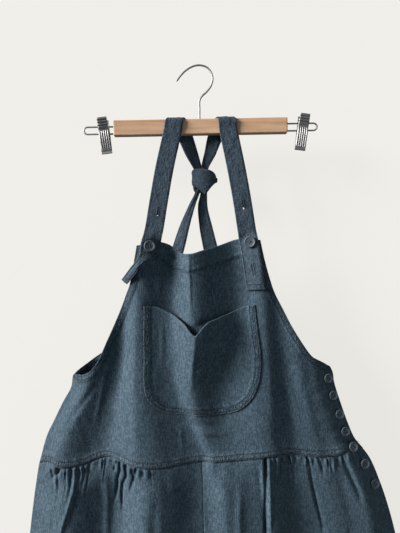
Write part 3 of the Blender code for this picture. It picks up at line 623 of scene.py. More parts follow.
def spindle():
    """A stitch seen close: a short thread with rounded ends, along X, one long and one thick."""
    turn = np.arange(6) * math.pi / 3
    rings = [(-0.42, 0.3), (-0.18, 0.5), (0.18, 0.5), (0.42, 0.3)]
    points = [(x, r * math.cos(t), r * math.sin(t)) for x, r in rings for t in turn]
    points += [(-0.5, 0, 0), (0.5, 0, 0)]
    neighbours = [(i, (i + 1) % 6) for i in range(6)]
    faces = [(6 * k + a, 6 * k + b, 6 * k + 6 + b, 6 * k + 6 + a) for k in range(3) for a, b in neighbours]
    faces += [(24, b, a, a) for a, b in neighbours] + [(25, 18 + a, 18 + b, 18 + b) for a, b in neighbours]
    return np.array(points), faces


def stitches(name, lines, length=2.3, gap=0.9, thick=0.55):
    """Rows of stitches: a thread is laid at even steps along each line of points, half sunk in the cloth."""
    shape, faces = spindle()
    middles, runs = [], []
    for line in lines:
        line = np.asarray(line, float)
        steps = np.linalg.norm(np.diff(line, axis=0), axis=1)
        reached = np.concatenate([[0], np.cumsum(steps)])
        at = np.arange(length / 2, reached[-1] - length / 2, length + gap)
        ends = [
            np.stack([np.interp(at + s, reached, line[:, k]) for k in range(3)], axis=1)
            for s in (-0.5, 0.5)
        ]
        middles.append((ends[0] + ends[1]) / 2)
        runs.append(ends[1] - ends[0])
    middle, run = np.concatenate(middles), np.concatenate(runs)
    run /= np.maximum(np.linalg.norm(run, axis=1, keepdims=True), 1e-9)
    out = np.array([0.0, 1.0, 0.0]) + 0 * run
    side = np.cross(run, out)
    side /= np.maximum(np.linalg.norm(side, axis=1, keepdims=True), 1e-9)
    out = np.cross(side, run)
    wide = 0.9 + 0.2 * np.sin(np.arange(len(middle)) * 2.4)[:, None, None]
    points = (
        middle[:, None]
        + run[:, None] * shape[None, :, 0:1] * length
        + side[:, None] * shape[None, :, 1:2] * thick * wide
        + out[:, None] * shape[None, :, 2:3] * thick
    )
    count = len(shape)
    tris = []
    for face in faces:
        corners = [c for k, c in enumerate(face) if k == 0 or c != face[k - 1]]
        tris += [(corners[0], corners[k], corners[k + 1]) for k in range(1, len(corners) - 1)]
    quads = (np.array(tris)[None] + (np.arange(len(middle)) * count)[:, None, None]).reshape(-1, 3)
    points = points.reshape(-1, 3)
    return piece(name, points, quads, points[:, [0, 2]] * 3, np.zeros(len(points)), THREAD)


def on_face(face, line, lift=0.12):
    """Points of a line across and down, laid on a face and lifted a little towards the viewer."""
    line = np.asarray(line, float)
    return np.column_stack([line[:, 0], face(line[:, 0], line[:, 1]) - lift, line[:, 1]])


def inset(line, distance):
    """A line moved sideways by a distance, to the left of its own run."""
    line = np.asarray(line, float)
    run = np.gradient(line, axis=0)
    run /= np.maximum(np.linalg.norm(run, axis=1, keepdims=True), 1e-9)
    return line + np.column_stack([-run[:, 1], run[:, 0]]) * distance


# The front bodice and bib: one piece of linen from the hemmed top edge to the waist seam. It tapers upwards,
# its armhole edges are faced and sewn with two rows, and a hem about 27 mm deep is turned at its top.
BIB_ROWS = np.array(
    [
        (-98, -288, -290, 95, -279),
        (-101, -307, -312, 101, -307),
        (-108, -345, -336, 108, -333),
        (-115, -364, -360, 117, -360),
        (-125, -390, -386, 130, -386),
        (-137, -420, -412, 143, -412),
        (-148, -446, -436, 158, -437),
        (-157, -466, -458, 174, -459),
        (-170, -483, -475, 188, -469),
        (-186, -491, -487, 200, -475),
        (-200, -492, -500, 209, -482),
        (-204, -512, -515, 215, -508),
        (-217, -536, -538, 224, -536),
        (-231, -565, -565, 235, -567),
        (-243, -591, -592, 246, -592),
        (-254, -632, -619, 260, -609),
    ],
    float,
)
TOP_EDGE = np.array(
    [
        (-98, -288),
        (-60, -282),
        (-44, -288),
        (-32, -298),
        (-15, -301),
        (3, -296),
        (29, -288),
        (61, -277),
        (95, -279),
    ],
    float,
)
FOLD_HEIGHTS = (-300, -430, -520, -610)
FRONT_FOLDS = np.array(
    [
        (-170, -154, -190, -232, 1, 3, 7, 8),
        (-130, -122, -134, -149, 1, -6, -9, -9),
        (-90, -97, -96, -88, 5, 5, 6, 6),
        (-44, -45, -36, 4, -6, -5, -4, -7),
        (-14, -7, -9, 22, 10, 10, 4, -1),
        (54, 56, 32, 46, -6, -6, -5, 0),
        (94, 102, 106, 104, 3, 4, 5, 4),
        (120, 124, 134, 146, 1, -1, -2, -2),
        (150, 154, 166, 188, 1, 3, 5, 4),
        (200, 200, 214, 240, 0, 3, 8, 11),
    ],
    float,
)
BIB_CREASES = [
    (3.2, 1.3, -1.7, 0.5, [(-15, -305), (-15, -330), (-14, -352), (-13, -378), (-10, -404)]),
    (5, -1.8, 1.2, 0.3, [(-154, -496), (-177, -529), (-198, -557), (-217, -589)]),
    (4, 1.5, 0.8, 0.2, [(-146, -470), (-152, -505), (-160, -548), (-166, -590)]),
    (4, -1.0, 0.6, 0.2, [(-120, -520), (-108, -548), (-104, -585)]),
    (6, -1.4, 0.8, 0.0, [(-60, -560), (-20, -556), (16, -562), (50, -556)]),
    (4, 1.2, -0.6, 0.0, [(-16, -560), (10, -572), (36, -574), (60, -566)]),
    (3.5, -1.3, 0.9, 0.0, [(30, -524), (40, -546), (44, -560)]),
    (2.6, 0.9, -0.8, 0.0, [(-24, -566), (-28, -580), (-22, -600)]),
    (5, 1.2, 0.8, 0.0, [(120, -470), (138, -505), (150, -550), (158, -590)]),
    (6, -0.8, 0.4, 0.1, [(204, -508), (184, -516), (168, -528)]),
    (5, 0.7, -0.5, 0.2, [(214, -548), (196, -553), (178, -566)]),
    (5, -0.7, 0.5, 0.2, [(230, -578), (210, -576), (192, -584)]),
    (4, 0.9, 0.5, 0.0, [(-70, -318), (-64, -345), (-66, -372)]),
    (3, -0.7, 0.4, 0.0, [(8, -322), (40, -319), (66, -322)]),
    (3, 0.6, 0.4, 0.0, [(-60, -334), (-20, -330), (30, -334), (60, -331)]),
    (7, -3.2, 0, 0.4, [(-80, -382), (-54, -390), (-38, -401), (-20, -414), (-8, -417), (2, -416)]),
    (6, -2.4, 0, 0.9, [(-10, -416), (4, -409), (15, -401), (34, -396), (50, -392)]),
]
HEM_DEPTH = 27
DEEPER = 1.5  # how many times the tables' rise the folds stand


def panel_grid(rows, columns, down, top=None, bottom=None, fade=0.16):
    """A panel's points across and down. Each row runs from its left end over a level middle to its right end,
    its ends bend over 18% of its width, and the first and last rows take the shape of the edges given."""
    v = np.linspace(0, 1, down) * (len(rows) - 1)
    left_x, left_z, middle_z, right_x, right_z = (
        through(np.arange(len(rows)), rows[:, k], v)[:, None] for k in range(5)
    )
    u = np.linspace(0, 1, columns)[None]
    x = left_x + (right_x - left_x) * u
    z = middle_z + (left_z - middle_z) * (1 - smooth(u / 0.18))
    z = z + (right_z - middle_z) * (1 - smooth((1 - u) / 0.18))
    share = (v / v[-1])[:, None]
    if top is not None:
        z = z + (through(top[:, 0], top[:, 1], x[0]) - z[0]) * (1 - smooth(share / fade))
    if bottom is not None:
        z = z + (bottom(x[-1]) - z[-1]) * smooth((share - 1 + fade) / fade)
    return x, z


def raw_front(x, z):
    """The front's depth from the body table and its folds, before hems and creases."""
    fullness = 1 - from_middle(x, z) ** 2.6
    side = body(z, 3)
    rise = folds(FRONT_FOLDS, FOLD_HEIGHTS, x, z) * DEEPER
    return side - 0.15 - CLOTH - stand(fullness, side - body(z, 4), rise)


bib_x, bib_z = panel_grid(BIB_ROWS, 216, 170, TOP_EDGE, lambda x: waist(x) + 0.15)
bib_edges = {
    "top": np.column_stack([bib_x[0], bib_z[0]])[::3],
    "left": np.column_stack([bib_x[:, 0], bib_z[:, 0]])[:108:3],
    "right": np.column_stack([bib_x[:, -1], bib_z[:, -1]])[:108:3],
}


def front_face(x, z):
    """Depth of the bodice's shown face: folds, creases, soft crumpling, the faced edges and their sewn
    rows."""
    fullness = smooth((1 - from_middle(x, z)) / 0.12)
    y = raw_front(x, z) - creases(BIB_CREASES, x, z) * fullness
    y -= (0.45 * crumple(x, z, 17, 31, 3) + 0.3 * crumple(x + 0.3 * z, z, 9, 23, 5)) * fullness
    top = away_from(bib_edges["top"], x, z)
    sides = np.minimum(away_from(bib_edges["left"], x, z), away_from(bib_edges["right"], x, z))
    y -= 0.7 * (1 - smooth((top - HEM_DEPTH + 1) / 2)) + 0.55 * (1 - smooth((sides - 9) / 2))
    drop = z - waist(x)
    y -= 0.6 * (1 - smooth((drop - 7) / 2.5)) + 0.15 * crumple(x, z, 5, 9, 8) * (1 - smooth((drop - 9) / 9))
    return y


bib_y = front_face(bib_x, bib_z)
bib_top = away_from(bib_edges["top"], bib_x, bib_z)
bib_sides = np.minimum(
    away_from(bib_edges["left"], bib_x, bib_z),
    away_from(bib_edges["right"], bib_x, bib_z),
)
bib_drop = bib_z - waist(bib_x)
bib_worn = np.exp(-((np.minimum(bib_top, bib_sides) / 1.6) ** 2))
bib_worn = bib_worn + 0.6 * np.exp(-(((bib_drop - 5) / 3.5) ** 2))
bib = shell(
    "bib_cloth",
    np.stack([bib_x, bib_y, bib_z], axis=-1),
    np.stack([bib_x, bib_z], axis=-1),
    np.clip(bib_worn, 0, 1),
    LINEN,
    sewn=np.minimum(np.minimum(bib_sides, bib_drop), np.abs(bib_top - HEM_DEPTH + 1.5) + 8.2),
)
waist_line = np.column_stack([bib_x[-1], waist(bib_x[-1])])[1:-1]
bib_sewing = stitches(
    "bib_sewing",
    [
        on_face(front_face, inset(bib_edges["left"], 2.2)),
        on_face(front_face, inset(bib_edges["left"], 8.2)),
        on_face(front_face, inset(bib_edges["right"], -2.2)),
        on_face(front_face, inset(bib_edges["right"], -8.2)),
        on_face(front_face, inset(bib_edges["top"], -HEM_DEPTH + 1.5)[4:-4]),
        on_face(front_face, waist_line + (0, 2.2)),
        on_face(front_face, waist_line + (0, 8.2)),
    ],
)
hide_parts("bib_front")

# The pocket: one patch of linen laid on the bib and sewn round its sides and its round bottom with two rows.
# Its mouth hangs open in a soft V, and its sides are turned in over a narrow facing.
POCKET_ROWS = np.array(
    [
        (-86, -382, -398, 86, -380),
        (-86, -405, -424, 88, -405),
        (-86, -434, -447, 91, -431),
        (-85, -462, -471, 94, -460),
        (-85, -489, -494, 92, -489),
        (-83, -511, -514, 85, -512),
        (-76, -525, -529, 74, -528),
        (-63, -537, -540, 60, -539),
        (-48, -544, -546, 45, -545),
    ],
    float,
)
POCKET_MOUTH = np.array(
    [
        (-86, -382),
        (-68, -383),
        (-49, -391),
        (-34, -400),
        (-22, -409),
        (-13, -420),
        (-7, -424),
        (2, -415),
        (11, -406),
        (26, -400),
        (48, -392),
        (69, -383),
        (86, -380),
    ],
    float,
)
POCKET_CREASES = [
    (4, 2.0, 1.2, 0.8, [(-7, -424), (-9, -448), (-12, -480), (-14, -515)]),
    (5, -1.2, 0.6, 0.3, [(10, -410), (16, -440), (20, -480)]),
    (3.5, -1.2, 0.8, 0.0, [(31, -524), (38, -536), (43, -544)]),
    (4, 0.9, 0.6, 0.0, [(-60, -400), (-58, -440), (-60, -490)]),
    (5, 0.9, 0.5, 0.0, [(60, -400), (64, -450), (58, -500)]),
    (3, -0.8, 0.5, 0.0, [(-40, -470), (-10, -476), (24, -468)]),
]
pocket_x, pocket_z = panel_grid(POCKET_ROWS, 104, 96, POCKET_MOUTH, None, 0.36)
pocket_edge = np.concatenate(
    [
        np.column_stack([pocket_x[:, 0], pocket_z[:, 0]])[::3],
        np.column_stack([pocket_x[-1], pocket_z[-1]])[::6],
        np.column_stack([pocket_x[:, -1], pocket_z[:, -1]])[::-3],
    ]
)


def pocket_face(x, z):
    """The bib's broad folds moved out, bellied where the mouth hangs open, with its own creases and sewn
    rows."""
    left, right = (through(POCKET_ROWS[:, k + 1], POCKET_ROWS[:, k], z) for k in (0, 3))
    share = np.clip((x - left) / (right - left), 0, 1)
    belly = 13 * np.sin(math.pi * share) ** 1.5 * (1 - smooth((-390 - z) / 135))
    edge = away_from(pocket_edge, x, z)
    y = raw_front(x, z) - 2.0 - belly - creases(POCKET_CREASES, x, z) * smooth(edge / 12)
    y -= 0.35 * crumple(x, z, 14, 27, 11) + 0.25 * crumple(x - 0.3 * z, z, 8, 19, 12)
    y -= 0.45 * (1 - smooth((edge - 9) / 2)) * smooth((z + 470) / 60)
    return np.minimum(y, front_face(x, z) - CLOTH - 0.35)


pocket_away = away_from(pocket_edge, pocket_x, pocket_z)
mouth_away = away_from(POCKET_MOUTH, pocket_x, pocket_z)
pocket = shell(
    "pocket_cloth",
    np.stack([pocket_x, pocket_face(pocket_x, pocket_z), pocket_z], axis=-1),
    np.stack([pocket_x + 420, pocket_z], axis=-1),
    np.clip(np.exp(-((np.minimum(pocket_away, mouth_away) / 1.5) ** 2)), 0, 1),
    LINEN,
    sewn=pocket_away,
)
pocket_sewing = stitches(
    "pocket_sewing",
    [on_face(pocket_face, inset(pocket_edge, 2.2)), on_face(pocket_face, inset(pocket_edge, 8.2)[3:-3])],
)
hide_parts("bib_pocket")

# The back bodice: one piece of linen cut low between the shoulder blades, with the same faced edges. The
# front is sewn to it at the left side; at the right side the front buttons over it.
BACK_ROWS = np.array(
    [
        (-72, -356, -352, 52, -354),
        (-82, -378, -376, 64, -376),
        (-98, -405, -402, 88, -402),
        (-122, -430, -428, 118, -427),
        (-152, -455, -452, 152, -449),
        (-177, -473, -474, 182, -466),
        (-200, -492, -500, 209, -482),
        (-204, -512, -515, 215, -508),
        (-217, -536, -538, 224, -536),
        (-231, -565, -565, 235, -567),
        (-243, -591, -592, 246, -592),
        (-254, -632, -619, 260, -609),
    ],
    float,
)
BACK_TOP = np.array([(-72, -356), (-40, -351), (-8, -353), (24, -350), (52, -354)], float)
BACK_FOLDS = np.array(
    [
        (-180, -172, -176, -205, 1, 1, 4, 6),
        (-110, -118, -128, -150, 0, -2, -4, -5),
        (-56, -62, -74, -96, 4, 5, 6, 6),
        (-16, -20, -34, -40, -5, -5, -4, -3),
        (32, 28, 18, 20, 4, 5, 5, 4),
        (84, 78, 74, 78, -2, -4, -5, -5),
        (126, 130, 134, 140, 1, 3, 5, 6),
        (180, 182, 186, 206, 0, -1, -3, -4),
    ],
    float,
)
BACK_CREASES = [
    (5, 1.6, -1.0, 0.2, [(-60, -380), (-84, -430), (-120, -500), (-150, -560)]),
    (4, -1.3, 0.8, 0.2, [(40, -380), (70, -430), (104, -490), (140, -550)]),
    (6, 1.4, 0.9, 0.0, [(-40, -540), (0, -548), (46, -540)]),
    (4, -1.2, 0.7, 0.0, [(-180, -520), (-150, -548), (-132, -590)]),
    (4, 1.2, -0.7, 0.0, [(186, -510), (166, -545), (150, -590)]),
    (5, 1.0, 0.8, 0.0, [(-10, -380), (-6, -430), (-12, -490)]),
]
back_x, back_z = panel_grid(BACK_ROWS, 190, 130, BACK_TOP, lambda x: waist(x) + 0.15)
back_edges = {
    "top": np.column_stack([back_x[0], back_z[0]])[::4],
    "left": np.column_stack([back_x[:, 0], back_z[:, 0]])[:72:3],
    "right": np.column_stack([back_x[:, -1], back_z[:, -1]])[:72:3],
}


def back_face(x, z):
    """Depth of the back's outer face, built as the front is."""
    fullness = 1 - from_middle(x, z) ** 2.6
    side = body(z, 3)
    soft = smooth((1 - from_middle(x, z)) / 0.12)
    rise = folds(BACK_FOLDS, FOLD_HEIGHTS, x, z) * DEEPER
    y = side + 0.15 + CLOTH + stand(fullness, body(z, 5) - side, rise)
    marks = creases(BACK_CREASES, x, z) + 0.5 * crumple(x, z, 19, 34, 21)
    y += (marks + 0.3 * crumple(x, z, 9, 21, 22)) * soft
    edge = np.minimum(away_from(back_edges["left"], x, z), away_from(back_edges["right"], x, z))
    top = away_from(back_edges["top"], x, z)
    y += 0.5 * (1 - smooth((np.minimum(edge, top) - 9) / 2))
    return y + 0.5 * (1 - smooth((z - waist(x) - 7) / 2.5))


back_y = back_face(back_x, back_z)
back_away = np.minimum(
    away_from(back_edges["top"], back_x, back_z),
    np.minimum(away_from(back_edges["left"], back_x, back_z), away_from(back_edges["right"], back_x, back_z)),
)
back = shell(
    "back_cloth",
    np.stack([back_x, back_y, back_z], axis=-1),
    np.stack([back_x, back_z + 700], axis=-1),
    np.clip(np.exp(-((back_away / 1.6) ** 2)) + 0.4 * np.exp(-(((back_z - waist(back_x)) / 2.2) ** 2)), 0, 1),
    LINEN,
    sewn=np.minimum(back_away, back_z - waist(back_x)),
    thick=-CLOTH + 0 * back_x,
    flip=True,
)
back_waist = np.column_stack([back_x[-1], waist(back_x[-1])])[1:-1]
back_sewing = stitches(
    "back_sewing",
    [
        on_face(back_face, inset(back_edges["left"], 8.2), -0.12),
        on_face(back_face, inset(back_edges["right"], -8.2), -0.12),
        on_face(back_face, inset(back_edges["top"], -8.2)[3:-3], -0.12),
        on_face(back_face, back_waist + (0, 2.2), -0.12),
        on_face(back_face, back_waist + (0, 8.2), -0.12),
    ],
)
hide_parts("back_bodice")

# The trouser panels: two in front and two behind, each gathered into the waist seam at its outer half, sewn
# to the next at the sides, the centre and the inside leg, and hemmed at the bottom.
INSEAM = np.array(
    [
        (-1605, -16, 44),
        (-1450, -12, 40),
        (-1280, -6, 34),
        (-1100, 2, 26),
        (-965, 12, 12),
        (-780, 8, 8),
        (-620, 4, 4),
    ],
    float,
)
CROTCH_TOP, CROTCH, HEM = -780, -965, -1605
LEG_HEIGHTS = (-640, -800, -1100, -1605)
LEG_FOLDS = {
    "front_leg_left": [
        (0.15, 0.14, 0.12, 0.10, 6, 8, 7, 6),
        (0.205, 0.195, 0.17, 0.15, 8, 10, 9, 8),
        (0.485, 0.475, 0.42, 0.37, -10, -12, -11, -9),
        (0.71, 0.69, 0.62, 0.57, 7, 8, 8, 8),
        (0.98, 0.96, 0.88, 0.82, -8, -8, -6, -6),
        (1.04, 1.04, 1.02, 1.00, -7, -7, -2, 3),
    ],
    "front_leg_right": [
        (0.06, 0.06, 0.09, 0.11, 14, 13, 5, -2),
        (0.26, 0.26, 0.27, 0.28, 4, 5, 7, 8),
        (0.51, 0.49, 0.45, 0.45, -5, -6, -7, -7),
        (0.657, 0.655, 0.62, 0.62, 5, 6, 8, 8),
        (0.69, 0.70, 0.76, 0.80, 0, -1, -5, -7),
        (0.87, 0.88, 0.91, 0.93, 2, 1.5, 2, 3),
        (1.00, 1.00, 1.02, 1.02, -8, -7, -2, 0),
    ],
    "back_leg_left": [
        (0.18, 0.19, 0.20, 0.20, 5, 6, 7, 7),
        (0.38, 0.40, 0.40, 0.41, -5, -6, -7, -7),
        (0.62, 0.62, 0.60, 0.62, 5, 6, 7, 8),
        (0.84, 0.82, 0.80, 0.82, -3, -4, -5, -5),
        (1.00, 1.00, 1.00, 1.00, 2, 2, 1, 1),
    ],
    "back_leg_right": [
        (0.16, 0.18, 0.20, 0.21, 5, 6, 6, 6),
        (0.34, 0.36, 0.38, 0.40, -4, -6, -7, -7),
        (0.56, 0.57, 0.58, 0.58, 6, 6, 7, 8),
        (0.80, 0.79, 0.80, 0.80, -4, -4, -5, -6),
        (1.00, 1.00, 1.00, 1.00, 2, 2, 1, 1),
    ],
}
GATHERS = {
    "front_leg_left": (-250, -66, 22),
    "front_leg_right": (92, 258, 19),
    "back_leg_left": (-236, -40, 20),
    "back_leg_right": (48, 240, 20),
}
LEG_CREASES = {
    "front_leg_left": [
        (2.2, -2.6, 1.2, 1.0, [(-130, -624), (-132, -640)]),
        (
            2.6,
            -3.4,
            1.8,
            1.0,
            [(-121, -622), (-121, -634), (-126, -648), (-127, -665), (-129, -676), (-135, -690)],
        ),
        (
            2.8,
            -3.8,
            2.0,
            1.0,
            [(-111, -620), (-111, -642), (-118, -657), (-119, -672), (-118, -691), (-119, -716)],
        ),
        (2.8, -3.0, 1.6, 1.0, [(-94, -622), (-98, -639), (-104, -660), (-106, -676)]),
        (4, -2.6, 1.6, 1.0, [(-207, -628), (-229, -650), (-240, -664)]),
        (3, 2.2, 1.0, 1.0, [(-225, -628), (-240, -642), (-250, -660)]),
        (
            3.2,
            2.6,
            -2.4,
            1.0,
            [(-192, -628), (-190, -642), (-191, -663), (-200, -694), (-209, -722), (-216, -760)],
        ),
        (2.4, 1.8, -1.4, 1.0, [(-184, -626), (-179, -640), (-184, -658)]),
        (6, 2.0, 1.6, 0.2, [(-150, -630), (-144, -680), (-146, -740), (-150, -830)]),
        (8, -1.6, 1.0, 0.0, [(-60, -640), (-66, -700), (-62, -780), (-54, -880)]),
        (9, 2.0, 1.0, 0.0, [(-210, -900), (-204, -1020), (-190, -1150), (-180, -1300)]),
        (8, -2.0, 1.2, 0.0, [(-120, -1000), (-124, -1150), (-110, -1330)]),
        (7, 1.6, 1.0, 0.0, [(-60, -1240), (-70, -1380), (-66, -1520)]),
    ],
    "front_leg_right": [
        (2.4, -5.0, 1.5, 1.0, [(99.5, -609), (100, -667), (100, -721), (99, -800), (97, -900)]),
        (2.0, 1.6, -0.8, 1.0, [(105.5, -612), (106, -667), (106, -721), (106, -800), (104, -900)]),
        (2.4, -2.6, 1.4, 1.0, [(135, -607), (141, -624), (142, -640)]),
        (2.6, -3.0, 1.8, 1.0, [(164, -608), (170, -628), (173, -652), (180, -682), (188, -712), (194, -750)]),
        (2.4, -2.4, 1.4, 1.0, [(181, -609), (188, -628), (190, -640)]),
        (3, -1.8, 1.2, 1.0, [(204, -607), (214, -618), (220, -630)]),
        (4, -3.0, 1.6, 1.0, [(219, -612), (229, -633), (245, -668), (252, -690)]),
        (3, 1.6, 1.0, 1.0, [(196, -610), (204, -622), (206, -640)]),
        (6, 1.6, 1.2, 0.0, [(60, -640), (58, -700), (60, -780)]),
        (8, -1.6, 1.0, 0.0, [(230, -700), (238, -780), (240, -880)]),
        (9, 2.0, 1.0, 0.0, [(220, -900), (214, -1020), (206, -1150), (200, -1300)]),
        (8, -2.0, 1.2, 0.0, [(150, -1000), (150, -1150), (140, -1330)]),
        (7, 1.6, 1.0, 0.0, [(90, -1240), (96, -1380), (92, -1520)]),
    ],
    "back_leg_left": [
        (3, -3.0, 1.6, 1.0, [(-190, -628), (-194, -650), (-204, -690)]),
        (3, -3.2, -1.8, 1.0, [(-150, -620), (-150, -650), (-144, -700), (-146, -740)]),
        (3, 2.6, 2.0, 1.0, [(-110, -622), (-106, -660), (-112, -720)]),
        (3, -2.8, 1.4, 1.0, [(-74, -624), (-76, -650), (-70, -690)]),
        (8, 2.0, 1.2, 0.0, [(-200, -800), (-208, -920), (-200, -1060)]),
        (8, -2.0, 1.0, 0.0, [(-110, -900), (-104, -1060), (-116, -1240)]),
        (7, 1.8, 1.0, 0.0, [(-60, -1180), (-66, -1330), (-58, -1500)]),
    ],
    "back_leg_right": [
        (3, -3.0, 1.6, 1.0, [(80, -612), (84, -640), (92, -690)]),
        (3, -3.2, -1.8, 1.0, [(124, -608), (122, -640), (128, -700), (124, -740)]),
        (3, 2.6, 2.0, 1.0, [(164, -610), (168, -650), (162, -710)]),
        (3, -2.8, 1.4, 1.0, [(206, -610), (208, -640), (214, -680)]),
        (8, 2.0, 1.2, 0.0, [(230, -800), (238, -920), (230, -1060)]),
        (8, -2.0, 1.0, 0.0, [(150, -900), (144, -1060), (154, -1240)]),
        (7, 1.8, 1.0, 0.0, [(90, -1180), (96, -1330), (90, -1500)]),
    ],
}


def inseam(name, z):
    return through(INSEAM[:, 0], INSEAM[:, 1 if name.endswith("left") else 2], z)


def outer_edge(name, z):
    return body(z, 1 if name.endswith("left") else 2)


def gathers(name, x, drop):
    """The gathers: narrow tucks across the seam, whose pitch and size wander. Most run out within 20 mm below
    it and a few within 60, and they sway a little on the way."""
    start, end, count = GATHERS[name]
    turns = np.linspace(0, count, 4 * count + 1)
    wander = 0.3 * np.sin(1.9 * turns) + 0.24 * np.sin(0.7 * turns)
    places = start + (end - start) * (turns + wander - wander[-1] * turns / count) / count
    turn = np.interp(x + 2.0 * np.sin(drop / 13 + x / 21) * smooth(drop / 30), places, turns)
    inside = smooth((x - start) / 6) * smooth((end - x) / 6)
    long = smooth((np.sin(2.1 * np.round(turn) + 1.2) - 0.35) / 0.5)
    size = (0.9 + 0.9 * smooth(drop / 5)) * (1 - smooth((drop - 5) / (13 + 42 * long)))
    uneven = 0.7 + 0.3 * np.sin(2.3 * turn + 1) + 0.3 * np.sin(4.1 * turn)
    return size * uneven * inside * (1 - 1.92 * np.abs(np.sin(math.pi * turn)) ** 2.5)


EVEN_WIDTH = 400
RUN_IN = 42


def leg_rise(name, x, z, drop):
    """The panel's folds: those of the bodice at the seam, run into its own broad folds within 42 mm. Its own
    are placed by their share of the panel's width, so they are read on an even width."""
    front = name.startswith("front")
    seam = waist(x)
    upper = folds(FRONT_FOLDS if front else BACK_FOLDS, FOLD_HEIGHTS, x, seam)
    outer, inner = outer_edge(name, z), inseam(name, z)
    share = np.clip((x - outer) / (inner - outer), 0, 1)
    table = np.array(LEG_FOLDS[name], float)
    table[:, :4] *= EVEN_WIDTH
    lower = folds(table, LEG_HEIGHTS, share * EVEN_WIDTH, z)
    return (upper + (lower - upper) * smooth(drop / RUN_IN)) * DEEPER


def leg_face(name, x, z):
    """Depth of a trouser panel's outer face: full across the hips, closed towards its side seam, and below
    the crotch to its inside seam too, with its folds, gathers, creases and soft crumpling."""
    front = name.startswith("front")
    outer, inner = outer_edge(name, z), inseam(name, z)
    middle = (outer + inner) / 2
    as_body = smooth((z - CROTCH) / (CROTCH_TOP - CROTCH))
    out_share = np.maximum(0, (middle - x) / (middle - outer))
    in_share = np.maximum(0, (x - middle) / (inner - middle))
    fall = np.clip((CROTCH_TOP - z) / (CROTCH_TOP - CROTCH), 0, 1)
    open_here = np.sqrt(1 - fall**2)
    closing = as_body * from_middle(x, z) ** 2.6 + (1 - as_body) * np.minimum(out_share, 1) ** 2.6
    closing = closing + (1 - open_here) * np.minimum(in_share, 1) ** 2.6
    fullness = np.maximum(0, 1 - closing)
    drop = np.maximum(0, waist(x) - z)
    rise = leg_rise(name, x, z, drop)
    detail = 1.3 * (gathers(name, x, drop) + creases(LEG_CREASES[name], x, z))
    detail = detail + 0.6 * crumple(x, z, 18, 46, 31) + 0.3 * crumple(x + 0.2 * z, z, 9, 24, 33)
    detail = detail * smooth(fullness / 0.3)
    hem = z - HEM
    detail = detail + 0.5 * (1 - smooth((hem - 28) / 2))
    side = body(z, 3)
    seam_in = 0.5 * np.exp(-(((np.abs(x - inner)) / 1.6) ** 2))
    if front:
        y = side - 0.15 - CLOTH - stand(fullness, side - body(z, 4), rise) - detail + seam_in
        under = front_face(x, np.maximum(z, waist(x))) + CLOTH + 0.25
    else:
        y = side + 0.15 + CLOTH + stand(fullness, body(z, 5) - side, rise) + detail - seam_in
        under = back_face(x, np.maximum(z, waist(x))) - CLOTH - 0.25
    return under + (y - under) * smooth((waist(x) - z + 1) / 5)


def leg(name, drops, columns):
    """One trouser panel on a grid whose rows follow the waist seam at the top and run level below it."""
    follow = 1 - smooth((drops - 20) / 70)
    ends = []
    for edge in (outer_edge, inseam):
        x = edge(name, -622 - drops)
        for _ in range(4):
            z = -622 - drops + (waist(x) + 622) * follow
            x = edge(name, z)
        ends.append(x)
    left, right = (ends[0], ends[1]) if name.endswith("left") else (ends[1], ends[0])
    right = right - 0.15 * (name.endswith("left") & (drops < 343))
    left = left + 0.15 * (name.endswith("right") & (drops < 343))
    u = np.linspace(0, 1, columns)[None]
    x = left[:, None] + (right - left)[:, None] * u
    z = -622 - drops[:, None] + (waist(x) - 0.15 + 622) * follow[:, None]
    z = z + 3 * np.sin(x / 37) * smooth((drops[:, None] - 880) / 100)
    y = leg_face(name, x, z)
    edge = np.minimum(np.abs(x - left[:, None]), np.abs(right[:, None] - x))
    worn = 0.55 * np.exp(-((edge / 1.6) ** 2)) + np.exp(-(((z - HEM) / 2.5) ** 2))
    front = name.startswith("front")
    chart = np.stack([x + (0 if front else 900), z - (0 if front else 400)], axis=-1)
    thing = shell(
        name + "_cloth",
        np.stack([x, y, z], axis=-1),
        chart,
        np.clip(worn, 0, 1),
        LINEN,
        sewn=np.abs(z - HEM - 26.5) + 8.2,
        thick=(CLOTH if front else -CLOTH) + 0 * x,
        flip=not front,
    )
    hem_x = x[-1][2:-2:2]
    hem_z = z[-1][2:-2:2] + 26.5
    hem_row = np.column_stack([hem_x, hem_z])
    lines = [on_face(lambda a, b: leg_face(name, a, b), hem_row, 0.12 if front else -0.12)]
    sewing = stitches(name + "_sewing", lines)
    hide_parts(name)
    return thing


LEG_DROPS = np.concatenate([np.arange(-3, 40, 1.5), np.arange(40, 130, 2.5), np.linspace(130, 983, 90)])
for panel, columns in (
    ("front_leg_left", 210),
    ("front_leg_right", 210),
    ("back_leg_left", 130),
    ("back_leg_right", 130),
):
    leg(panel, LEG_DROPS, columns)

# The straps: two layers of linen sewn along both edges, 29 mm wide. Each runs from the knot over the bar and
# down to its button on the bib; the left one's spare end is pinched and twisted under its button, the right
# one's hangs flat. Spare buttonholes are cut in them.
STRAP_LEFT = [
    (3.5, 9.5, -178, 10, 12, 0),
    (-2.5, 9.5, -161, 14, 20, 0.2),
    (-13, 8.7, -136, 21, 21, 0.25),
    (-22.5, 7.3, -112, 24, 18, 0),
    (-30, 7.0, -96, 27, 12, 0),
    (-33, 7.2, -87.7, 28, 1, 0),
    (-34.5, 5.3, -85.8, 28.5, 1, 0),
    (-36.5, 0, -85.8, 29, 1, 0),
    (-38, -5.3, -85.8, 29, 1, 0),
    (-39, -7.2, -87.7, 29, 1, 0),
    (-42, -7.1, -104, 29, -10, 0),
    (-45.5, -7.4, -120, 29, -10, 0),
    (-55, -10.8, -165, 29, -10, 0),
    (-65, -15.0, -225, 29, -10, 0),
    (-72, -18.2, -268, 29, -12, 0),
]
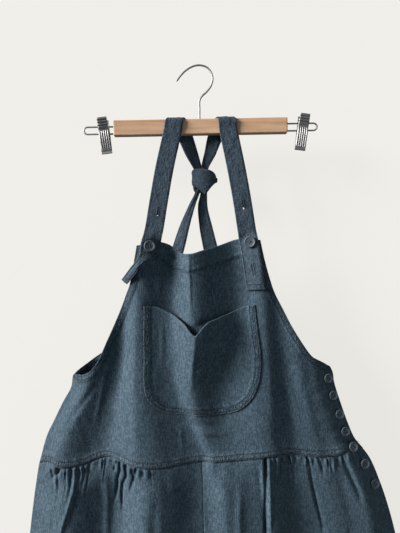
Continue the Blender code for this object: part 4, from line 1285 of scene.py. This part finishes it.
STRAP_RIGHT = [
    (8, 14.0, -178, 12, -14, 0),
    (8, 14.0, -162, 12, -16, -0.25),
    (17, 11.5, -136, 19, -22, -0.3),
    (24, 8.4, -114, 24, -20, -0.2),
    (32, 7.0, -97, 27, -13, 0),
    (36, 7.2, -86.3, 28, 1, 0),
    (37.5, 5.3, -84.4, 28.5, 1, 0),
    (39.5, 0, -84.35, 29, 1, 0),
    (41.5, -5.3, -84.35, 29, 1, 0),
    (43, -7.2, -86.2, 29, 1, 0),
    (45.5, -7.1, -102, 29, 9, 0),
    (48.5, -7.4, -118, 29, 9, 0),
    (58, -9.4, -165, 29, 9, 0),
    (68, -11.8, -222, 29, 9, 0),
    (74, -13.6, -262, 29, 8, 0),
]
STRAP_LEFT_END = [
    (-77, -288, 29, -15, 0, 0),
    (-80, -299, 27, -24, 0.6, 1),
    (-85.5, -307, 20, -42, 1.4, 2.5),
    (-93, -315, 13, -50, 2.4, 4),
    (-102, -326, 13, -40, 2.4, 3),
    (-111, -337, 12.5, -37, 2, 2),
    (-117, -344, 12, -37, 1.5, 1),
]
STRAP_RIGHT_END = [
    (77.5, -283, 29, 7, 0, 0),
    (80.5, -302, 29, 6, 0, 0),
    (83.5, -322, 29, 5, 0, 0),
    (86, -341, 29, 4, 0, 0),
    (88, -357, 29, 3, 0, 0),
]
STRAP_LEFT_BACK = [
    (0.5, 10.5, -186, 9, 8, 0),
    (-3, 10.8, -200, 9, 12, -0.1),
    (-10.5, 11.2, -218, 13, 18, -0.25),
    (-23, 11.6, -252, 20, 20, -0.3),
    (-34, 11.4, -290, 24, 18, -0.2),
    (-45, 10.4, -324, 27, 15, 0),
    (-51, 9.4, -345, 29, 14, 0),
]
STRAP_LEFT_BACK_END = [(-54, -358, 29, 12, 0, 0), (-56, -366, 29, 12, 0, 0), (-59, -378, 29, 12, 0, 0)]
STRAP_RIGHT_BACK = [
    (7, 14.2, -186, 11, -4, 0),
    (7, 14.4, -200, 11, -6, 0),
    (5.5, 14.4, -222, 16, -10, -0.1),
    (10, 13.8, -252, 22, -12, -0.15),
    (18, 12.6, -290, 26, -13, -0.1),
    (26, 11.0, -324, 28, -12, 0),
    (31, 10.0, -345, 29, -11, 0),
]
STRAP_RIGHT_BACK_END = [(33, -358, 29, -10, 0, 0), (34.5, -366, 29, -10, 0, 0), (36.5, -378, 29, -10, 0, 0)]
STRAP_THICK = 2.3


def strap(name, node, path, ending, face, holes=(), step=1.5, columns=33):
    """A band carried along its path. A smooth line runs through the table's middles, widths, turns and
    twists, and the end lies on the face given. Across it the band is a little cupped, it thins at its sewn
    edges, and where it is narrower than its cut it is pinched into small pleats."""
    rows = [list(row) + [0, 0, 0] for row in path]
    rows += [[x, 0, z, wide, turn, 0, lift, more, 1] for x, z, wide, turn, lift, more in ending]
    rows = np.array(rows, float)
    for k in range(len(path), len(rows)):
        rows[k, 1] = face(rows[k, 0], rows[k, 2]) - 0.6 - rows[k, 6] - rows[k, 7] / 2
    reached = np.concatenate([[0], np.cumsum(np.linalg.norm(np.diff(rows[:, :3], axis=0), axis=1))])
    at = np.linspace(0, reached[-1], int(reached[-1] / step) + 1)
    x, y, z, wide, turn, twist, lift, more, lies = (
        through(reached, rows[:, k], at)[:, None] for k in range(9)
    )
    share = np.linspace(-0.5, 0.5, columns)[None]
    middle = np.concatenate([x, y, z], axis=1)
    run = np.gradient(middle, axis=0)
    run /= np.linalg.norm(run, axis=1, keepdims=True)
    turn = np.radians(turn)
    across = np.concatenate([np.cos(turn), twist, np.sin(turn)], axis=1)
    out = np.cross(run, across)
    out /= np.linalg.norm(out, axis=1, keepdims=True)
    inner = middle[:, None] + across[:, None] * (wide * share)[..., None]
    rest = face(inner[..., 0], inner[..., 2]) - 0.6 - lift - more * (share + 0.5)
    held = smooth(lies)
    inner[..., 1] = inner[..., 1] * (1 - held) + rest * held
    pinch = smooth((26 - wide) / 14)
    edge = (0.5 - np.abs(share)) * wide
    lump = 0.5 * crumple(at[:, None] + 0 * share, share * wide, 13, 9, len(node)) * smooth(edge / 3)
    lump = lump + 0.25 * crumple(at[:, None] + 0 * share, share * wide, 5, 5, len(node) + 1)
    pleats = pinch * (0.5 * np.cos(share * 9 + at[:, None] / 31) + 0.25 * np.cos(share * 19 + 1))
    hem = np.minimum(at[-1] - at, 99)[:, None] + 0 * share if node.endswith("front") else 99 + 0 * edge
    thick = STRAP_THICK * (0.55 + 0.45 * np.sqrt(smooth(edge / 1.6))) + lump + pleats
    thick = thick + 0.6 * (1 - smooth((hem - 9) / 1.5)) * (held > 0)
    thick = np.maximum(thick, 0.9)
    shown = inner + out[:, None] * thick[..., None]
    keep = np.ones((len(at) - 1, columns - 1), bool)
    hole_lines = []
    for hole_x, hole_z, slit_x, slit_z, opened in holes:
        far = away_from([(slit_x, slit_z), (hole_x, hole_z)], inner[..., 0], inner[..., 2])
        front = (at > 60)[:, None]
        groove = 0.9 * np.exp(-((far / 0.7) ** 2)) - 0.45 * np.exp(-(((far - 1.6) / 0.7) ** 2))
        shown = shown - out[:, None] * (groove * front)[..., None]
        if opened:
            cell_x, cell_z = ((inner[1:, 1:, k] + inner[:-1, :-1, k]) / 2 for k in (0, 2))
            keep &= ~((np.hypot(cell_x - hole_x, cell_z - hole_z) < opened) & (at[1:] > 60)[:, None])
        run_2d = np.array([hole_x - slit_x, hole_z - slit_z]) / math.hypot(hole_x - slit_x, hole_z - slit_z)
        side_2d = np.array([-run_2d[1], run_2d[0]])
        for sign in (-1, 1):
            line = np.array([(slit_x, slit_z), (hole_x, hole_z)]) + side_2d * 1.5 * sign
            line = np.linspace(line[0], line[1], 12)
            nearest = [
                np.argmin(np.hypot(inner[..., 0] - a, inner[..., 2] - b) + 99 * ~front) for a, b in line
            ]
            hole_lines.append(shown.reshape(-1, 3)[nearest] + out[np.array(nearest) // columns] * 0.15)
    worn = np.exp(-((edge / 1.2) ** 2)) * (0.9 - 0.5 * (at[:, None] < 40)) + 0.7 * np.exp(-((hem / 1.2) ** 2))
    chart = np.stack([share * wide + 29 * len(node), at[:, None] + 0 * share], axis=-1)
    sewn = np.minimum(np.minimum(edge, hem - 5.8), 5.2)
    band = shell(name, shown, chart, np.clip(worn, 0, 1), STRAP_LINEN, sewn=sewn, thick=thick, keep=keep)
    seams = [shown[2:-2, k] + out[2:-2] * 0.1 for k in (3, columns - 4)]
    if len(ending) > 3:
        seams.append(shown[-7, 3:-3] + out[-7] * 0.1)
    sewing = [stitches(name + "_sewing", seams, 2.1, 0.8, 0.5)]
    if hole_lines:
        sewing.append(stitches(name + "_buttonholes", hole_lines, 0.75, 0.05, 0.6))
    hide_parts(node)
    return band


def inside_of_back(x, z):
    return back_face(x, z) - CLOTH - 0.3


strap(
    "strap_left_front_cloth",
    "strap_left_front",
    STRAP_LEFT,
    STRAP_LEFT_END,
    front_face,
    [(-65.5, -241, -64.0, -228, 1.25)],
)
strap(
    "strap_right_front_cloth",
    "strap_right_front",
    STRAP_RIGHT,
    STRAP_RIGHT_END,
    front_face,
    [(69.3, -229.6, 67.4, -216, 1.25), (84.7, -335, 81.6, -316, 0)],
)
strap("strap_left_back_cloth", "strap_left_back", STRAP_LEFT_BACK, STRAP_LEFT_BACK_END, inside_of_back)
strap("strap_right_back_cloth", "strap_right_back", STRAP_RIGHT_BACK, STRAP_RIGHT_BACK_END, inside_of_back)

# The knot: the two straps are tied behind the bar. A wide turn wraps the front from high on the left to low
# on the right, over a narrower turn that shows at the upper right.
KNOT = np.array([5.0, 12.0, -181.0])
WIDE_TURN = [
    (0, 4, 12, 0),
    (20, 5, 10, 0),
    (45, 9, 7.5, 0),
    (90, 12, 5.0, 0),
    (135, 14, 5.4, 3),
    (180, 14.5, 5.2, 4),
    (225, 15.5, 7.4, 3),
    (250, 17.5, 7.4, 0.5),
    (270, 19.2, 7.2, -1.2),
    (290, 20.3, 7.6, -3.3),
    (315, 13.5, 9.2, -1),
    (340, 6, 11.4, 0),
    (360, 4, 12, 0),
]
NARROW_TURN = [
    (0, 7.5, 9.6, 3),
    (45, 11, 6.5, 4),
    (90, 15, 6.2, -2),
    (135, 15, 4.4, -5),
    (180, 13, 3.2, -3),
    (225, 12, 3.2, 3),
    (270, 11, 4.2, 6),
    (315, 9.5, 7.2, 7),
    (360, 7.5, 9.6, 3),
]


def turn_of_cloth(name, table, seed):
    """One turn of the knot: a band carried round the bundle. Its half width, its reach and its height run
    smoothly round it, and it curls in at its upper and lower edges."""
    table = np.array(table, float)
    angle = np.linspace(0, 360, 121)[:-1][None]
    half, reach, lift = (through(table[:, 0], table[:, k], angle) for k in (1, 2, 3))
    share = np.linspace(1, -1, 49)[:, None]
    curl = 1 - 0.8 * np.abs(share) ** 9
    a = np.radians(angle)
    lump = 0.5 * crumple(angle / 3 + 0 * share, share * 20 + 0 * angle, 14, 12, seed) * (1 - share**4)
    ridge = 0.5 * np.exp(-(((share - 0.45 + 0.3 * np.sin(a)) / 0.09) ** 2))
    ridge = ridge + 0.3 * np.exp(-(((share + 0.4) / 0.12) ** 2))
    far = reach * curl + lump + ridge * (1 - np.abs(share) ** 6)
    shown = np.stack(
        [
            KNOT[0] + (12 + far) * np.cos(a),
            KNOT[1] + (7.5 + far) * np.sin(a),
            KNOT[2] + lift + half * share + 0 * a,
        ],
        axis=-1,
    )
    worn = np.exp(-(((1 - np.abs(share)) / 0.08) ** 2)) + 0 * a
    chart = np.stack([share * 18 + 0 * a, np.radians(angle) * 20 + 0 * share], axis=-1)
    thick = 2.2 + 0 * worn
    worn = np.clip(worn * 0.8, 0, 1)
    return shell(name, shown, chart, worn, STRAP_LINEN, thick=thick, around=True), shown


wide_turn, wide_points = turn_of_cloth("knot_wide_turn", WIDE_TURN, 51)
narrow_turn, _ = turn_of_cloth("knot_narrow_turn", NARROW_TURN, 52)
knot_sewing = stitches(
    "knot_sewing",
    [np.roll(wide_points[7], 20, axis=0) - (0, 0.15, 0), np.roll(wide_points[-8], 20, axis=0) - (0, 0.15, 0)],
    2.1,
    0.8,
    0.5,
)
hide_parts("strap_knot")
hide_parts("strap_knot")

# The buttons: dark resin, four holes and a raised rim, sewn on with a cross of thread. Two larger ones hold
# the straps to the bib, and seven close the right side. Each sits where its solid sits.
def resin():
    paint = bpy.data.materials.new("button resin")
    paint.use_nodes = True
    tree = paint.node_tree
    shader = tree.nodes["Principled BSDF"]
    place = added(tree, "ShaderNodeTexCoord")
    swirl = added(tree, "ShaderNodeTexNoise", {"Scale": 260, "Detail": 4, "Distortion": 1.2})
    tone = added(
        tree,
        "ShaderNodeMix",
        {"A": (0.020, 0.030, 0.040, 1), "B": (0.066, 0.090, 0.114, 1)},
        data_type="RGBA",
    )
    rub = added(tree, "ShaderNodeMix", {"B": (0.1, 0.125, 0.145, 1)}, data_type="RGBA")
    edge = added(tree, "ShaderNodeAttribute", attribute_name="worn")
    amount = added(tree, "ShaderNodeGroup", {"Amount": 0.2}, node_tree=WEAR)
    gloss = added(tree, "ShaderNodeMapRange", {"To Min": 0.5, "To Max": 0.66})
    link_all(
        tree,
        [
            (place.outputs["Object"], swirl.inputs["Vector"]),
            (place.outputs["Object"], amount.inputs["Map"]),
            (edge.outputs["Fac"], amount.inputs["Edge"]),
            (swirl.outputs["Fac"], tone.inputs["Factor"]),
            (tone.outputs["Result"], rub.inputs["A"]),
            (amount.outputs["Wear"], rub.inputs["Factor"]),
            (rub.outputs["Result"], shader.inputs["Base Color"]),
            (swirl.outputs["Fac"], gloss.inputs["Value"]),
            (gloss.outputs["Result"], shader.inputs["Roughness"]),
        ],
    )
    return paint


RESIN = resin()


def merge_poles(thing):
    """Closes the poles of a turned shape, where a whole ring of its points lies in one place."""
    mesh = bmesh.new()
    mesh.from_mesh(thing.data)
    bmesh.ops.remove_doubles(mesh, verts=mesh.verts, dist=0.000002)
    mesh.to_mesh(thing.data)
    mesh.free()


def place_of(node):
    """Middle and outward axis of a node's flat disc: the axis is its thinnest way, turned towards the
    viewer."""
    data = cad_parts[node].data
    points = np.empty(len(data.vertices) * 3)
    data.vertices.foreach_get("co", points)
    points = points.reshape(-1, 3) * 1000
    axis = np.linalg.svd(points - points.mean(axis=0), full_matrices=False)[2][2]
    return points.mean(axis=0), axis * (-1 if axis[1] > 0 else 1)


def brought_out(bed, middle, side, up, radius, clear):
    """Slides a disc along the line of sight until it clears the cloth under it."""
    turn = np.arange(24) * math.pi / 12
    eye_at = np.array(camera.location) * 1000
    for _ in range(4):
        rim = middle + radius * (np.cos(turn)[:, None] * side + np.sin(turn)[:, None] * up)
        points = np.vstack([rim, (rim + middle) / 2, middle])
        short = clear + np.max(points[:, 1] - bed(points[:, 0], points[:, 2]))
        middle = middle - (middle - eye_at) * short / (middle[1] - eye_at[1])
    return middle


def button(node, radius, lift, spin, bed):
    """A lathe-turned disc: its height goes with the distance from the middle, over a dished centre, a rounded
    rim and a flat back. Four pits for the thread are pressed into the dish."""
    middle, out = place_of(node)
    side = np.cross([0, 0, 1.0], out)
    side /= np.linalg.norm(side)
    up = np.cross(out, side)
    middle = brought_out(bed, middle, side, up, radius, lift)
    angle = np.linspace(0, 2 * math.pi, 73)[:-1][None]
    profile = [(r, 0.35) for r in np.linspace(0, 0.6, 26)]
    profile += [(0.66, 0.4), (0.71, 0.62), (0.76, 0.9), (0.82, 1.05)]
    profile += [(0.88, 1.05), (0.94, 0.9), (0.985, 0.5), (1, 0)]
    profile += [(0.985, -0.5), (0.93, -0.95), (0.85, -1.1), (0.5, -1.1), (0, -1.1)]
    far, height = (np.array(profile)[:, k][:, None] for k in (0, 1))
    a, b = far * radius * np.cos(angle), far * radius * np.sin(angle)
    pit = 0
    for k in range(4):
        turn = spin + math.pi / 4 + k * math.pi / 2
        reach = np.hypot(a - 0.27 * radius * math.cos(turn), b - 0.27 * radius * math.sin(turn))
        pit = pit + 1.1 * (1 - smooth((reach - 0.09 * radius) / (0.07 * radius)))
    h = height * 1.35 + 0 * angle - pit * (height > 0) + 0.06 * crumple(a, b, 2, 2, 61)
    points = middle + a[..., None] * side + b[..., None] * up + h[..., None] * out
    index = np.arange(points.shape[0] * points.shape[1]).reshape(points.shape[:2])
    right = np.roll(index, -1, axis=1)
    quads = np.stack([index[:-1], index[1:], right[1:], right[:-1]], axis=-1).reshape(-1, 4)
    worn = np.exp(-(((far - 0.86) / 0.07) ** 2)) + 0 * angle
    flat = points.reshape(-1, 3)
    disc = piece(node + "_disc", flat, quads, flat[:, [0, 2]], np.ravel(worn), RESIN)
    merge_poles(disc)
    thread = []
    for k in range(2):
        turn = spin + math.pi / 4 + k * math.pi / 2
        along = math.cos(turn) * side + math.sin(turn) * up
        beside = -math.sin(turn) * side + math.cos(turn) * up
        for shift in (-0.25, 0.25):
            steps = ((0.27 * radius, 0.2), (0, 1.0 + 0.3 * k), (-0.27 * radius, 0.2))
            arch = [middle + far * along + shift * beside + rise * out for far, rise in steps]
            thread.append(np.array(arch))
    sewn = tube(node + "_thread", thread, 0.28, THREAD)
    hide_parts(node)


def tube(name, lines, radius, finish, sides=8):
    """Round threads or wires: a ring of points carried along each line, square to its run, and closed at both
    ends by rings that shrink to a point."""
    all_points, all_quads, charts, first = [], [], [], 0
    for line in lines:
        line = np.asarray(line, float)
        run = np.gradient(line, axis=0)
        run /= np.linalg.norm(run, axis=1, keepdims=True)
        cap = np.array([(1.0, 0.0), (0.87, 0.5), (0.5, 0.87), (0.0, 1.0)])
        before = [line[0] - run[0] * radius * a for a, _ in cap[:-1]]
        after = [line[-1] + run[-1] * radius * a for a, _ in cap[:-1][::-1]]
        rings = np.array(before + list(line) + after)
        sizes = np.concatenate([cap[:-1, 1], np.ones(len(line)), cap[:-1, 1][::-1]]) * radius
        runs = np.concatenate([np.repeat(run[:1], 3, 0), run, np.repeat(run[-1:], 3, 0)])
        away = np.array([0.0, 1.0, 0.0]) + 0 * runs
        away = np.where(np.abs(runs[:, 1:2]) > 0.9, np.array([1.0, 0, 0]), away)
        side = np.cross(runs, away)
        side /= np.linalg.norm(side, axis=1, keepdims=True)
        up = np.cross(side, runs)
        angle = np.arange(sides) * 2 * math.pi / sides
        ring = side[:, None] * np.cos(angle)[None, :, None] + up[:, None] * np.sin(angle)[None, :, None]
        points = rings[:, None] + ring * sizes[:, None, None]
        index = np.arange(len(rings) * sides).reshape(len(rings), sides) + first
        right = np.roll(index, -1, axis=1)
        all_quads.append(np.stack([index[:-1], index[1:], right[1:], right[:-1]], axis=-1).reshape(-1, 4))
        all_points.append(points.reshape(-1, 3))
        along = np.arange(len(rings))[:, None] + 0 * angle
        chart = np.stack([along * 2.0, np.degrees(angle)[None] / 60 + 0 * along], axis=-1)
        charts.append(chart.reshape(-1, 2))
        first += len(rings) * sides
    points, chart = np.concatenate(all_points), np.concatenate(charts)
    thing = piece(name, points, np.concatenate(all_quads), chart, np.zeros(len(points)), finish)
    merge_poles(thing)
    return thing


def right_side(x, z):
    return np.where(z > waist(x), front_face(x, z), leg_face("front_leg_right", x, np.minimum(z, waist(x))))


def on_strap(x, z):
    return front_face(x, z) - 0.6 - STRAP_THICK


for number, node in enumerate(["strap_button_left", "strap_button_right"]):
    button(node, 9.0, 1.7, 0.2 + 0.5 * number, on_strap)
for number in range(1, 8):
    button("side_button_%d" % number, 7.5, 1.6, 0.37 * number, right_side)


# The hanger: a planed bar of bare beech, bored for a hook of bright steel wire. A wire rail at each end
# carries a sprung clip whose two leaves are stamped with ribs above the pin and grooves below it.
def beech():
    wood = bpy.data.materials.new("bare beech")
    wood.use_nodes = True
    tree = wood.node_tree
    shader = tree.nodes["Principled BSDF"]
    place = added(tree, "ShaderNodeTexCoord")
    parts = []
    for scale, detail in (((9, 110, 150), 3.0), ((30, 700, 900), 2.0), ((22, 22, 22), 2.0)):
        stretch = added(tree, "ShaderNodeVectorMath", {1: scale}, operation="MULTIPLY")
        noise = added(tree, "ShaderNodeTexNoise", {"Scale": 1.0, "Detail": detail, "Distortion": 0.5})
        tree.links.new(place.outputs["Object"], stretch.inputs[0])
        tree.links.new(stretch.outputs[0], noise.inputs["Vector"])
        parts.append(noise.outputs["Fac"])
    grain = added(tree, "ShaderNodeValToRGB")
    grain.color_ramp.elements[0].position = 0.3
    grain.color_ramp.elements[0].color = (0.46, 0.28, 0.165, 1)
    grain.color_ramp.elements[1].position = 0.68
    grain.color_ramp.elements[1].color = (0.63, 0.41, 0.265, 1)
    pores = added(tree, "ShaderNodeMapRange", {"From Min": 0.62, "From Max": 0.72, "To Max": 0.35})
    dark = added(tree, "ShaderNodeMix", {"B": (0.33, 0.20, 0.12, 1)}, data_type="RGBA")
    cast = added(
        tree,
        "ShaderNodeMix",
        {"B": (0.86, 0.80, 0.76, 1)},
        data_type="RGBA",
        blend_type="MULTIPLY",
    )
    dry = added(tree, "ShaderNodeMapRange", {"To Min": 0.5, "To Max": 0.68})
    relief = added(tree, "ShaderNodeBump", {"Strength": 0.3, "Distance": 0.0002})
    link_all(
        tree,
        [
            (parts[0], grain.inputs[0]),
            (parts[1], pores.inputs["Value"]),
            (grain.outputs[0], dark.inputs["A"]),
            (pores.outputs["Result"], dark.inputs["Factor"]),
            (dark.outputs["Result"], cast.inputs["A"]),
            (parts[2], cast.inputs["Factor"]),
            (cast.outputs["Result"], shader.inputs["Base Color"]),
            (parts[0], dry.inputs["Value"]),
            (dry.outputs["Result"], shader.inputs["Roughness"]),
            (parts[1], relief.inputs["Height"]),
            (relief.outputs["Normal"], shader.inputs["Normal"]),
        ],
    )
    shader.inputs["Specular IOR Level"].default_value = 0.35
    return wood


def steel(name, tone, low, high, scale):
    metal = bpy.data.materials.new(name)
    metal.use_nodes = True
    tree = metal.node_tree
    shader = tree.nodes["Principled BSDF"]
    shader.inputs["Metallic"].default_value = 1
    place = added(tree, "ShaderNodeTexCoord")
    stretch = added(tree, "ShaderNodeVectorMath", {1: scale}, operation="MULTIPLY")
    noise = added(tree, "ShaderNodeTexNoise", {"Scale": 1.0, "Detail": 3})
    colour = added(
        tree,
        "ShaderNodeMix",
        {"A": (tone * 0.72, tone * 0.7, tone * 0.68, 1), "B": (tone, tone, tone, 1)},
        data_type="RGBA",
    )
    rough = added(tree, "ShaderNodeMapRange", {"To Min": low, "To Max": high})
    link_all(
        tree,
        [
            (place.outputs["Object"], stretch.inputs[0]),
            (stretch.outputs[0], noise.inputs["Vector"]),
            (noise.outputs["Fac"], colour.inputs["Factor"]),
            (colour.outputs["Result"], shader.inputs["Base Color"]),
            (noise.outputs["Fac"], rough.inputs["Value"]),
            (rough.outputs["Result"], shader.inputs["Roughness"]),
        ],
    )
    return metal


WIRE = steel("drawn steel wire", 0.36, 0.52, 0.62, (40, 40, 40))
PRESSED = steel("pressed steel", 0.3, 0.5, 0.62, (60, 60, 60))
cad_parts["hanger_bar"].material_slots[0].material = beech()

HOOK_LINE = [
    (-36, -23),
    (-30, -15),
    (-22, -7),
    (-11, -0.5),
    (0, 1.5),
    (11, -1.5),
    (18, -9),
    (21, -20),
    (18, -32),
    (11, -41.5),
    (4, -48),
    (0, -56),
    (0, -70),
    (0, -95),
]
hook_line = np.array(HOOK_LINE, float)
reached = np.arange(len(hook_line))
fine = np.linspace(0, len(hook_line) - 1, 100)
hook = tube(
    "hook_wire",
    [
        np.column_stack(
            [through(reached, hook_line[:, 0], fine), 0 * fine, through(reached, hook_line[:, 1], fine)]
        )
    ],
    1.5,
    WIRE,
    16,
)
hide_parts("hanger_hook")

BAR_TILT = math.radians(1.03)
BAR_MIDDLE = np.array([1.5, 0, -97.8])
for side, hand in ((-1, "left"), (1, "right")):
    bend = 5.75
    angle = np.linspace(0, math.pi, 17)
    rail = [(x, bend) for x in np.linspace(0, 47.5 - bend, 20)]
    rail += [(47.5 - bend + bend * math.sin(a), bend * math.cos(a)) for a in angle[1:-1]]
    rail += [(x, -bend) for x in np.linspace(47.5 - bend, 0, 20)]
    rail = np.array(rail)
    across, high = side * (138.8 + rail[:, 0]), rail[:, 1] - 2.5
    points = BAR_MIDDLE + np.column_stack(
        [
            across * math.cos(BAR_TILT) - high * math.sin(BAR_TILT),
            0 * across,
            across * math.sin(BAR_TILT) + high * math.cos(BAR_TILT),
        ]
    )
    wire = tube("rail_wire_" + hand, [points], 1.3, WIRE, 14)
    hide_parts("clip_rail_" + hand)
    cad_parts["clip_pin_" + hand].material_slots[0].material = WIRE

CLIP_LEAF = [
    (28, -9.6),
    (26, -9.2),
    (22, -8.4),
    (18, -7.2),
    (16, -6.6),
    (13, -5.0),
    (9.2, -3.25),
    (5, -4.2),
    (-4, -4.4),
    (-14, -2.8),
    (-22, -1.0),
    (-25, -0.25),
    (-28, -1.2),
]


def clip_leaf(node, side, place, lean):
    """A stamped leaf: its depth follows the clip's profile down its height, with four cross ribs in the
    handle and upright grooves in the jaw, and its long edges are turned towards the other leaf."""
    height = np.linspace(28, -28, 113)[:, None]
    wide = np.linspace(-8.5, 8.5, 61)[None] * (0.94 + 0.06 * (1 - smooth((height - 16) / 6)))
    leaf = np.array(CLIP_LEAF, float)
    depth = through(leaf[:, 0], leaf[:, 1], height) - 0.4 + 0 * wide
    ribs = 0.75 * np.sin(height / 4.1 * 2 * math.pi) * smooth((height - 13) / 2) * smooth((28 - height) / 1.5)
    grooves = 0.55 * np.cos(wide / 3.3 * 2 * math.pi) * smooth((9 - height) / 2) * smooth((height + 24) / 2)
    edge = smooth((np.abs(wide) - 6.9) / 1.6)
    rim = 1.5 * edge * smooth((np.abs(depth) - 1) / 3)
    depth = depth - ribs * (1 - edge * 0.6) - grooves * (1 - edge) + rim
    x = wide * math.cos(lean) + height * math.sin(lean)
    z = -wide * math.sin(lean) + height * math.cos(lean)
    y = -side * depth if side > 0 else depth
    shown = np.stack([x + place[0], y, z + place[1]], axis=-1)
    worn = np.clip(edge, 0, 1)
    chart = np.stack([wide + 0 * height, height + 0 * wide], axis=-1)
    sheet_metal = 0.8 * (-1 if side > 0 else 1)
    thick = sheet_metal + 0 * worn
    leaf_piece = shell(node + "_leaf", shown, chart, worn, PRESSED, thick=thick, flip=side > 0)
    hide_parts(node)


for hand, place, lean in (("left", (-151.5, -112.3), -7.6), ("right", (164, -106.5), 7.0)):
    clip_leaf("clip_front_" + hand, -1, place, math.radians(lean))
    clip_leaf("clip_back_" + hand, 1, place, math.radians(lean))

bpy.context.view_layer.update()
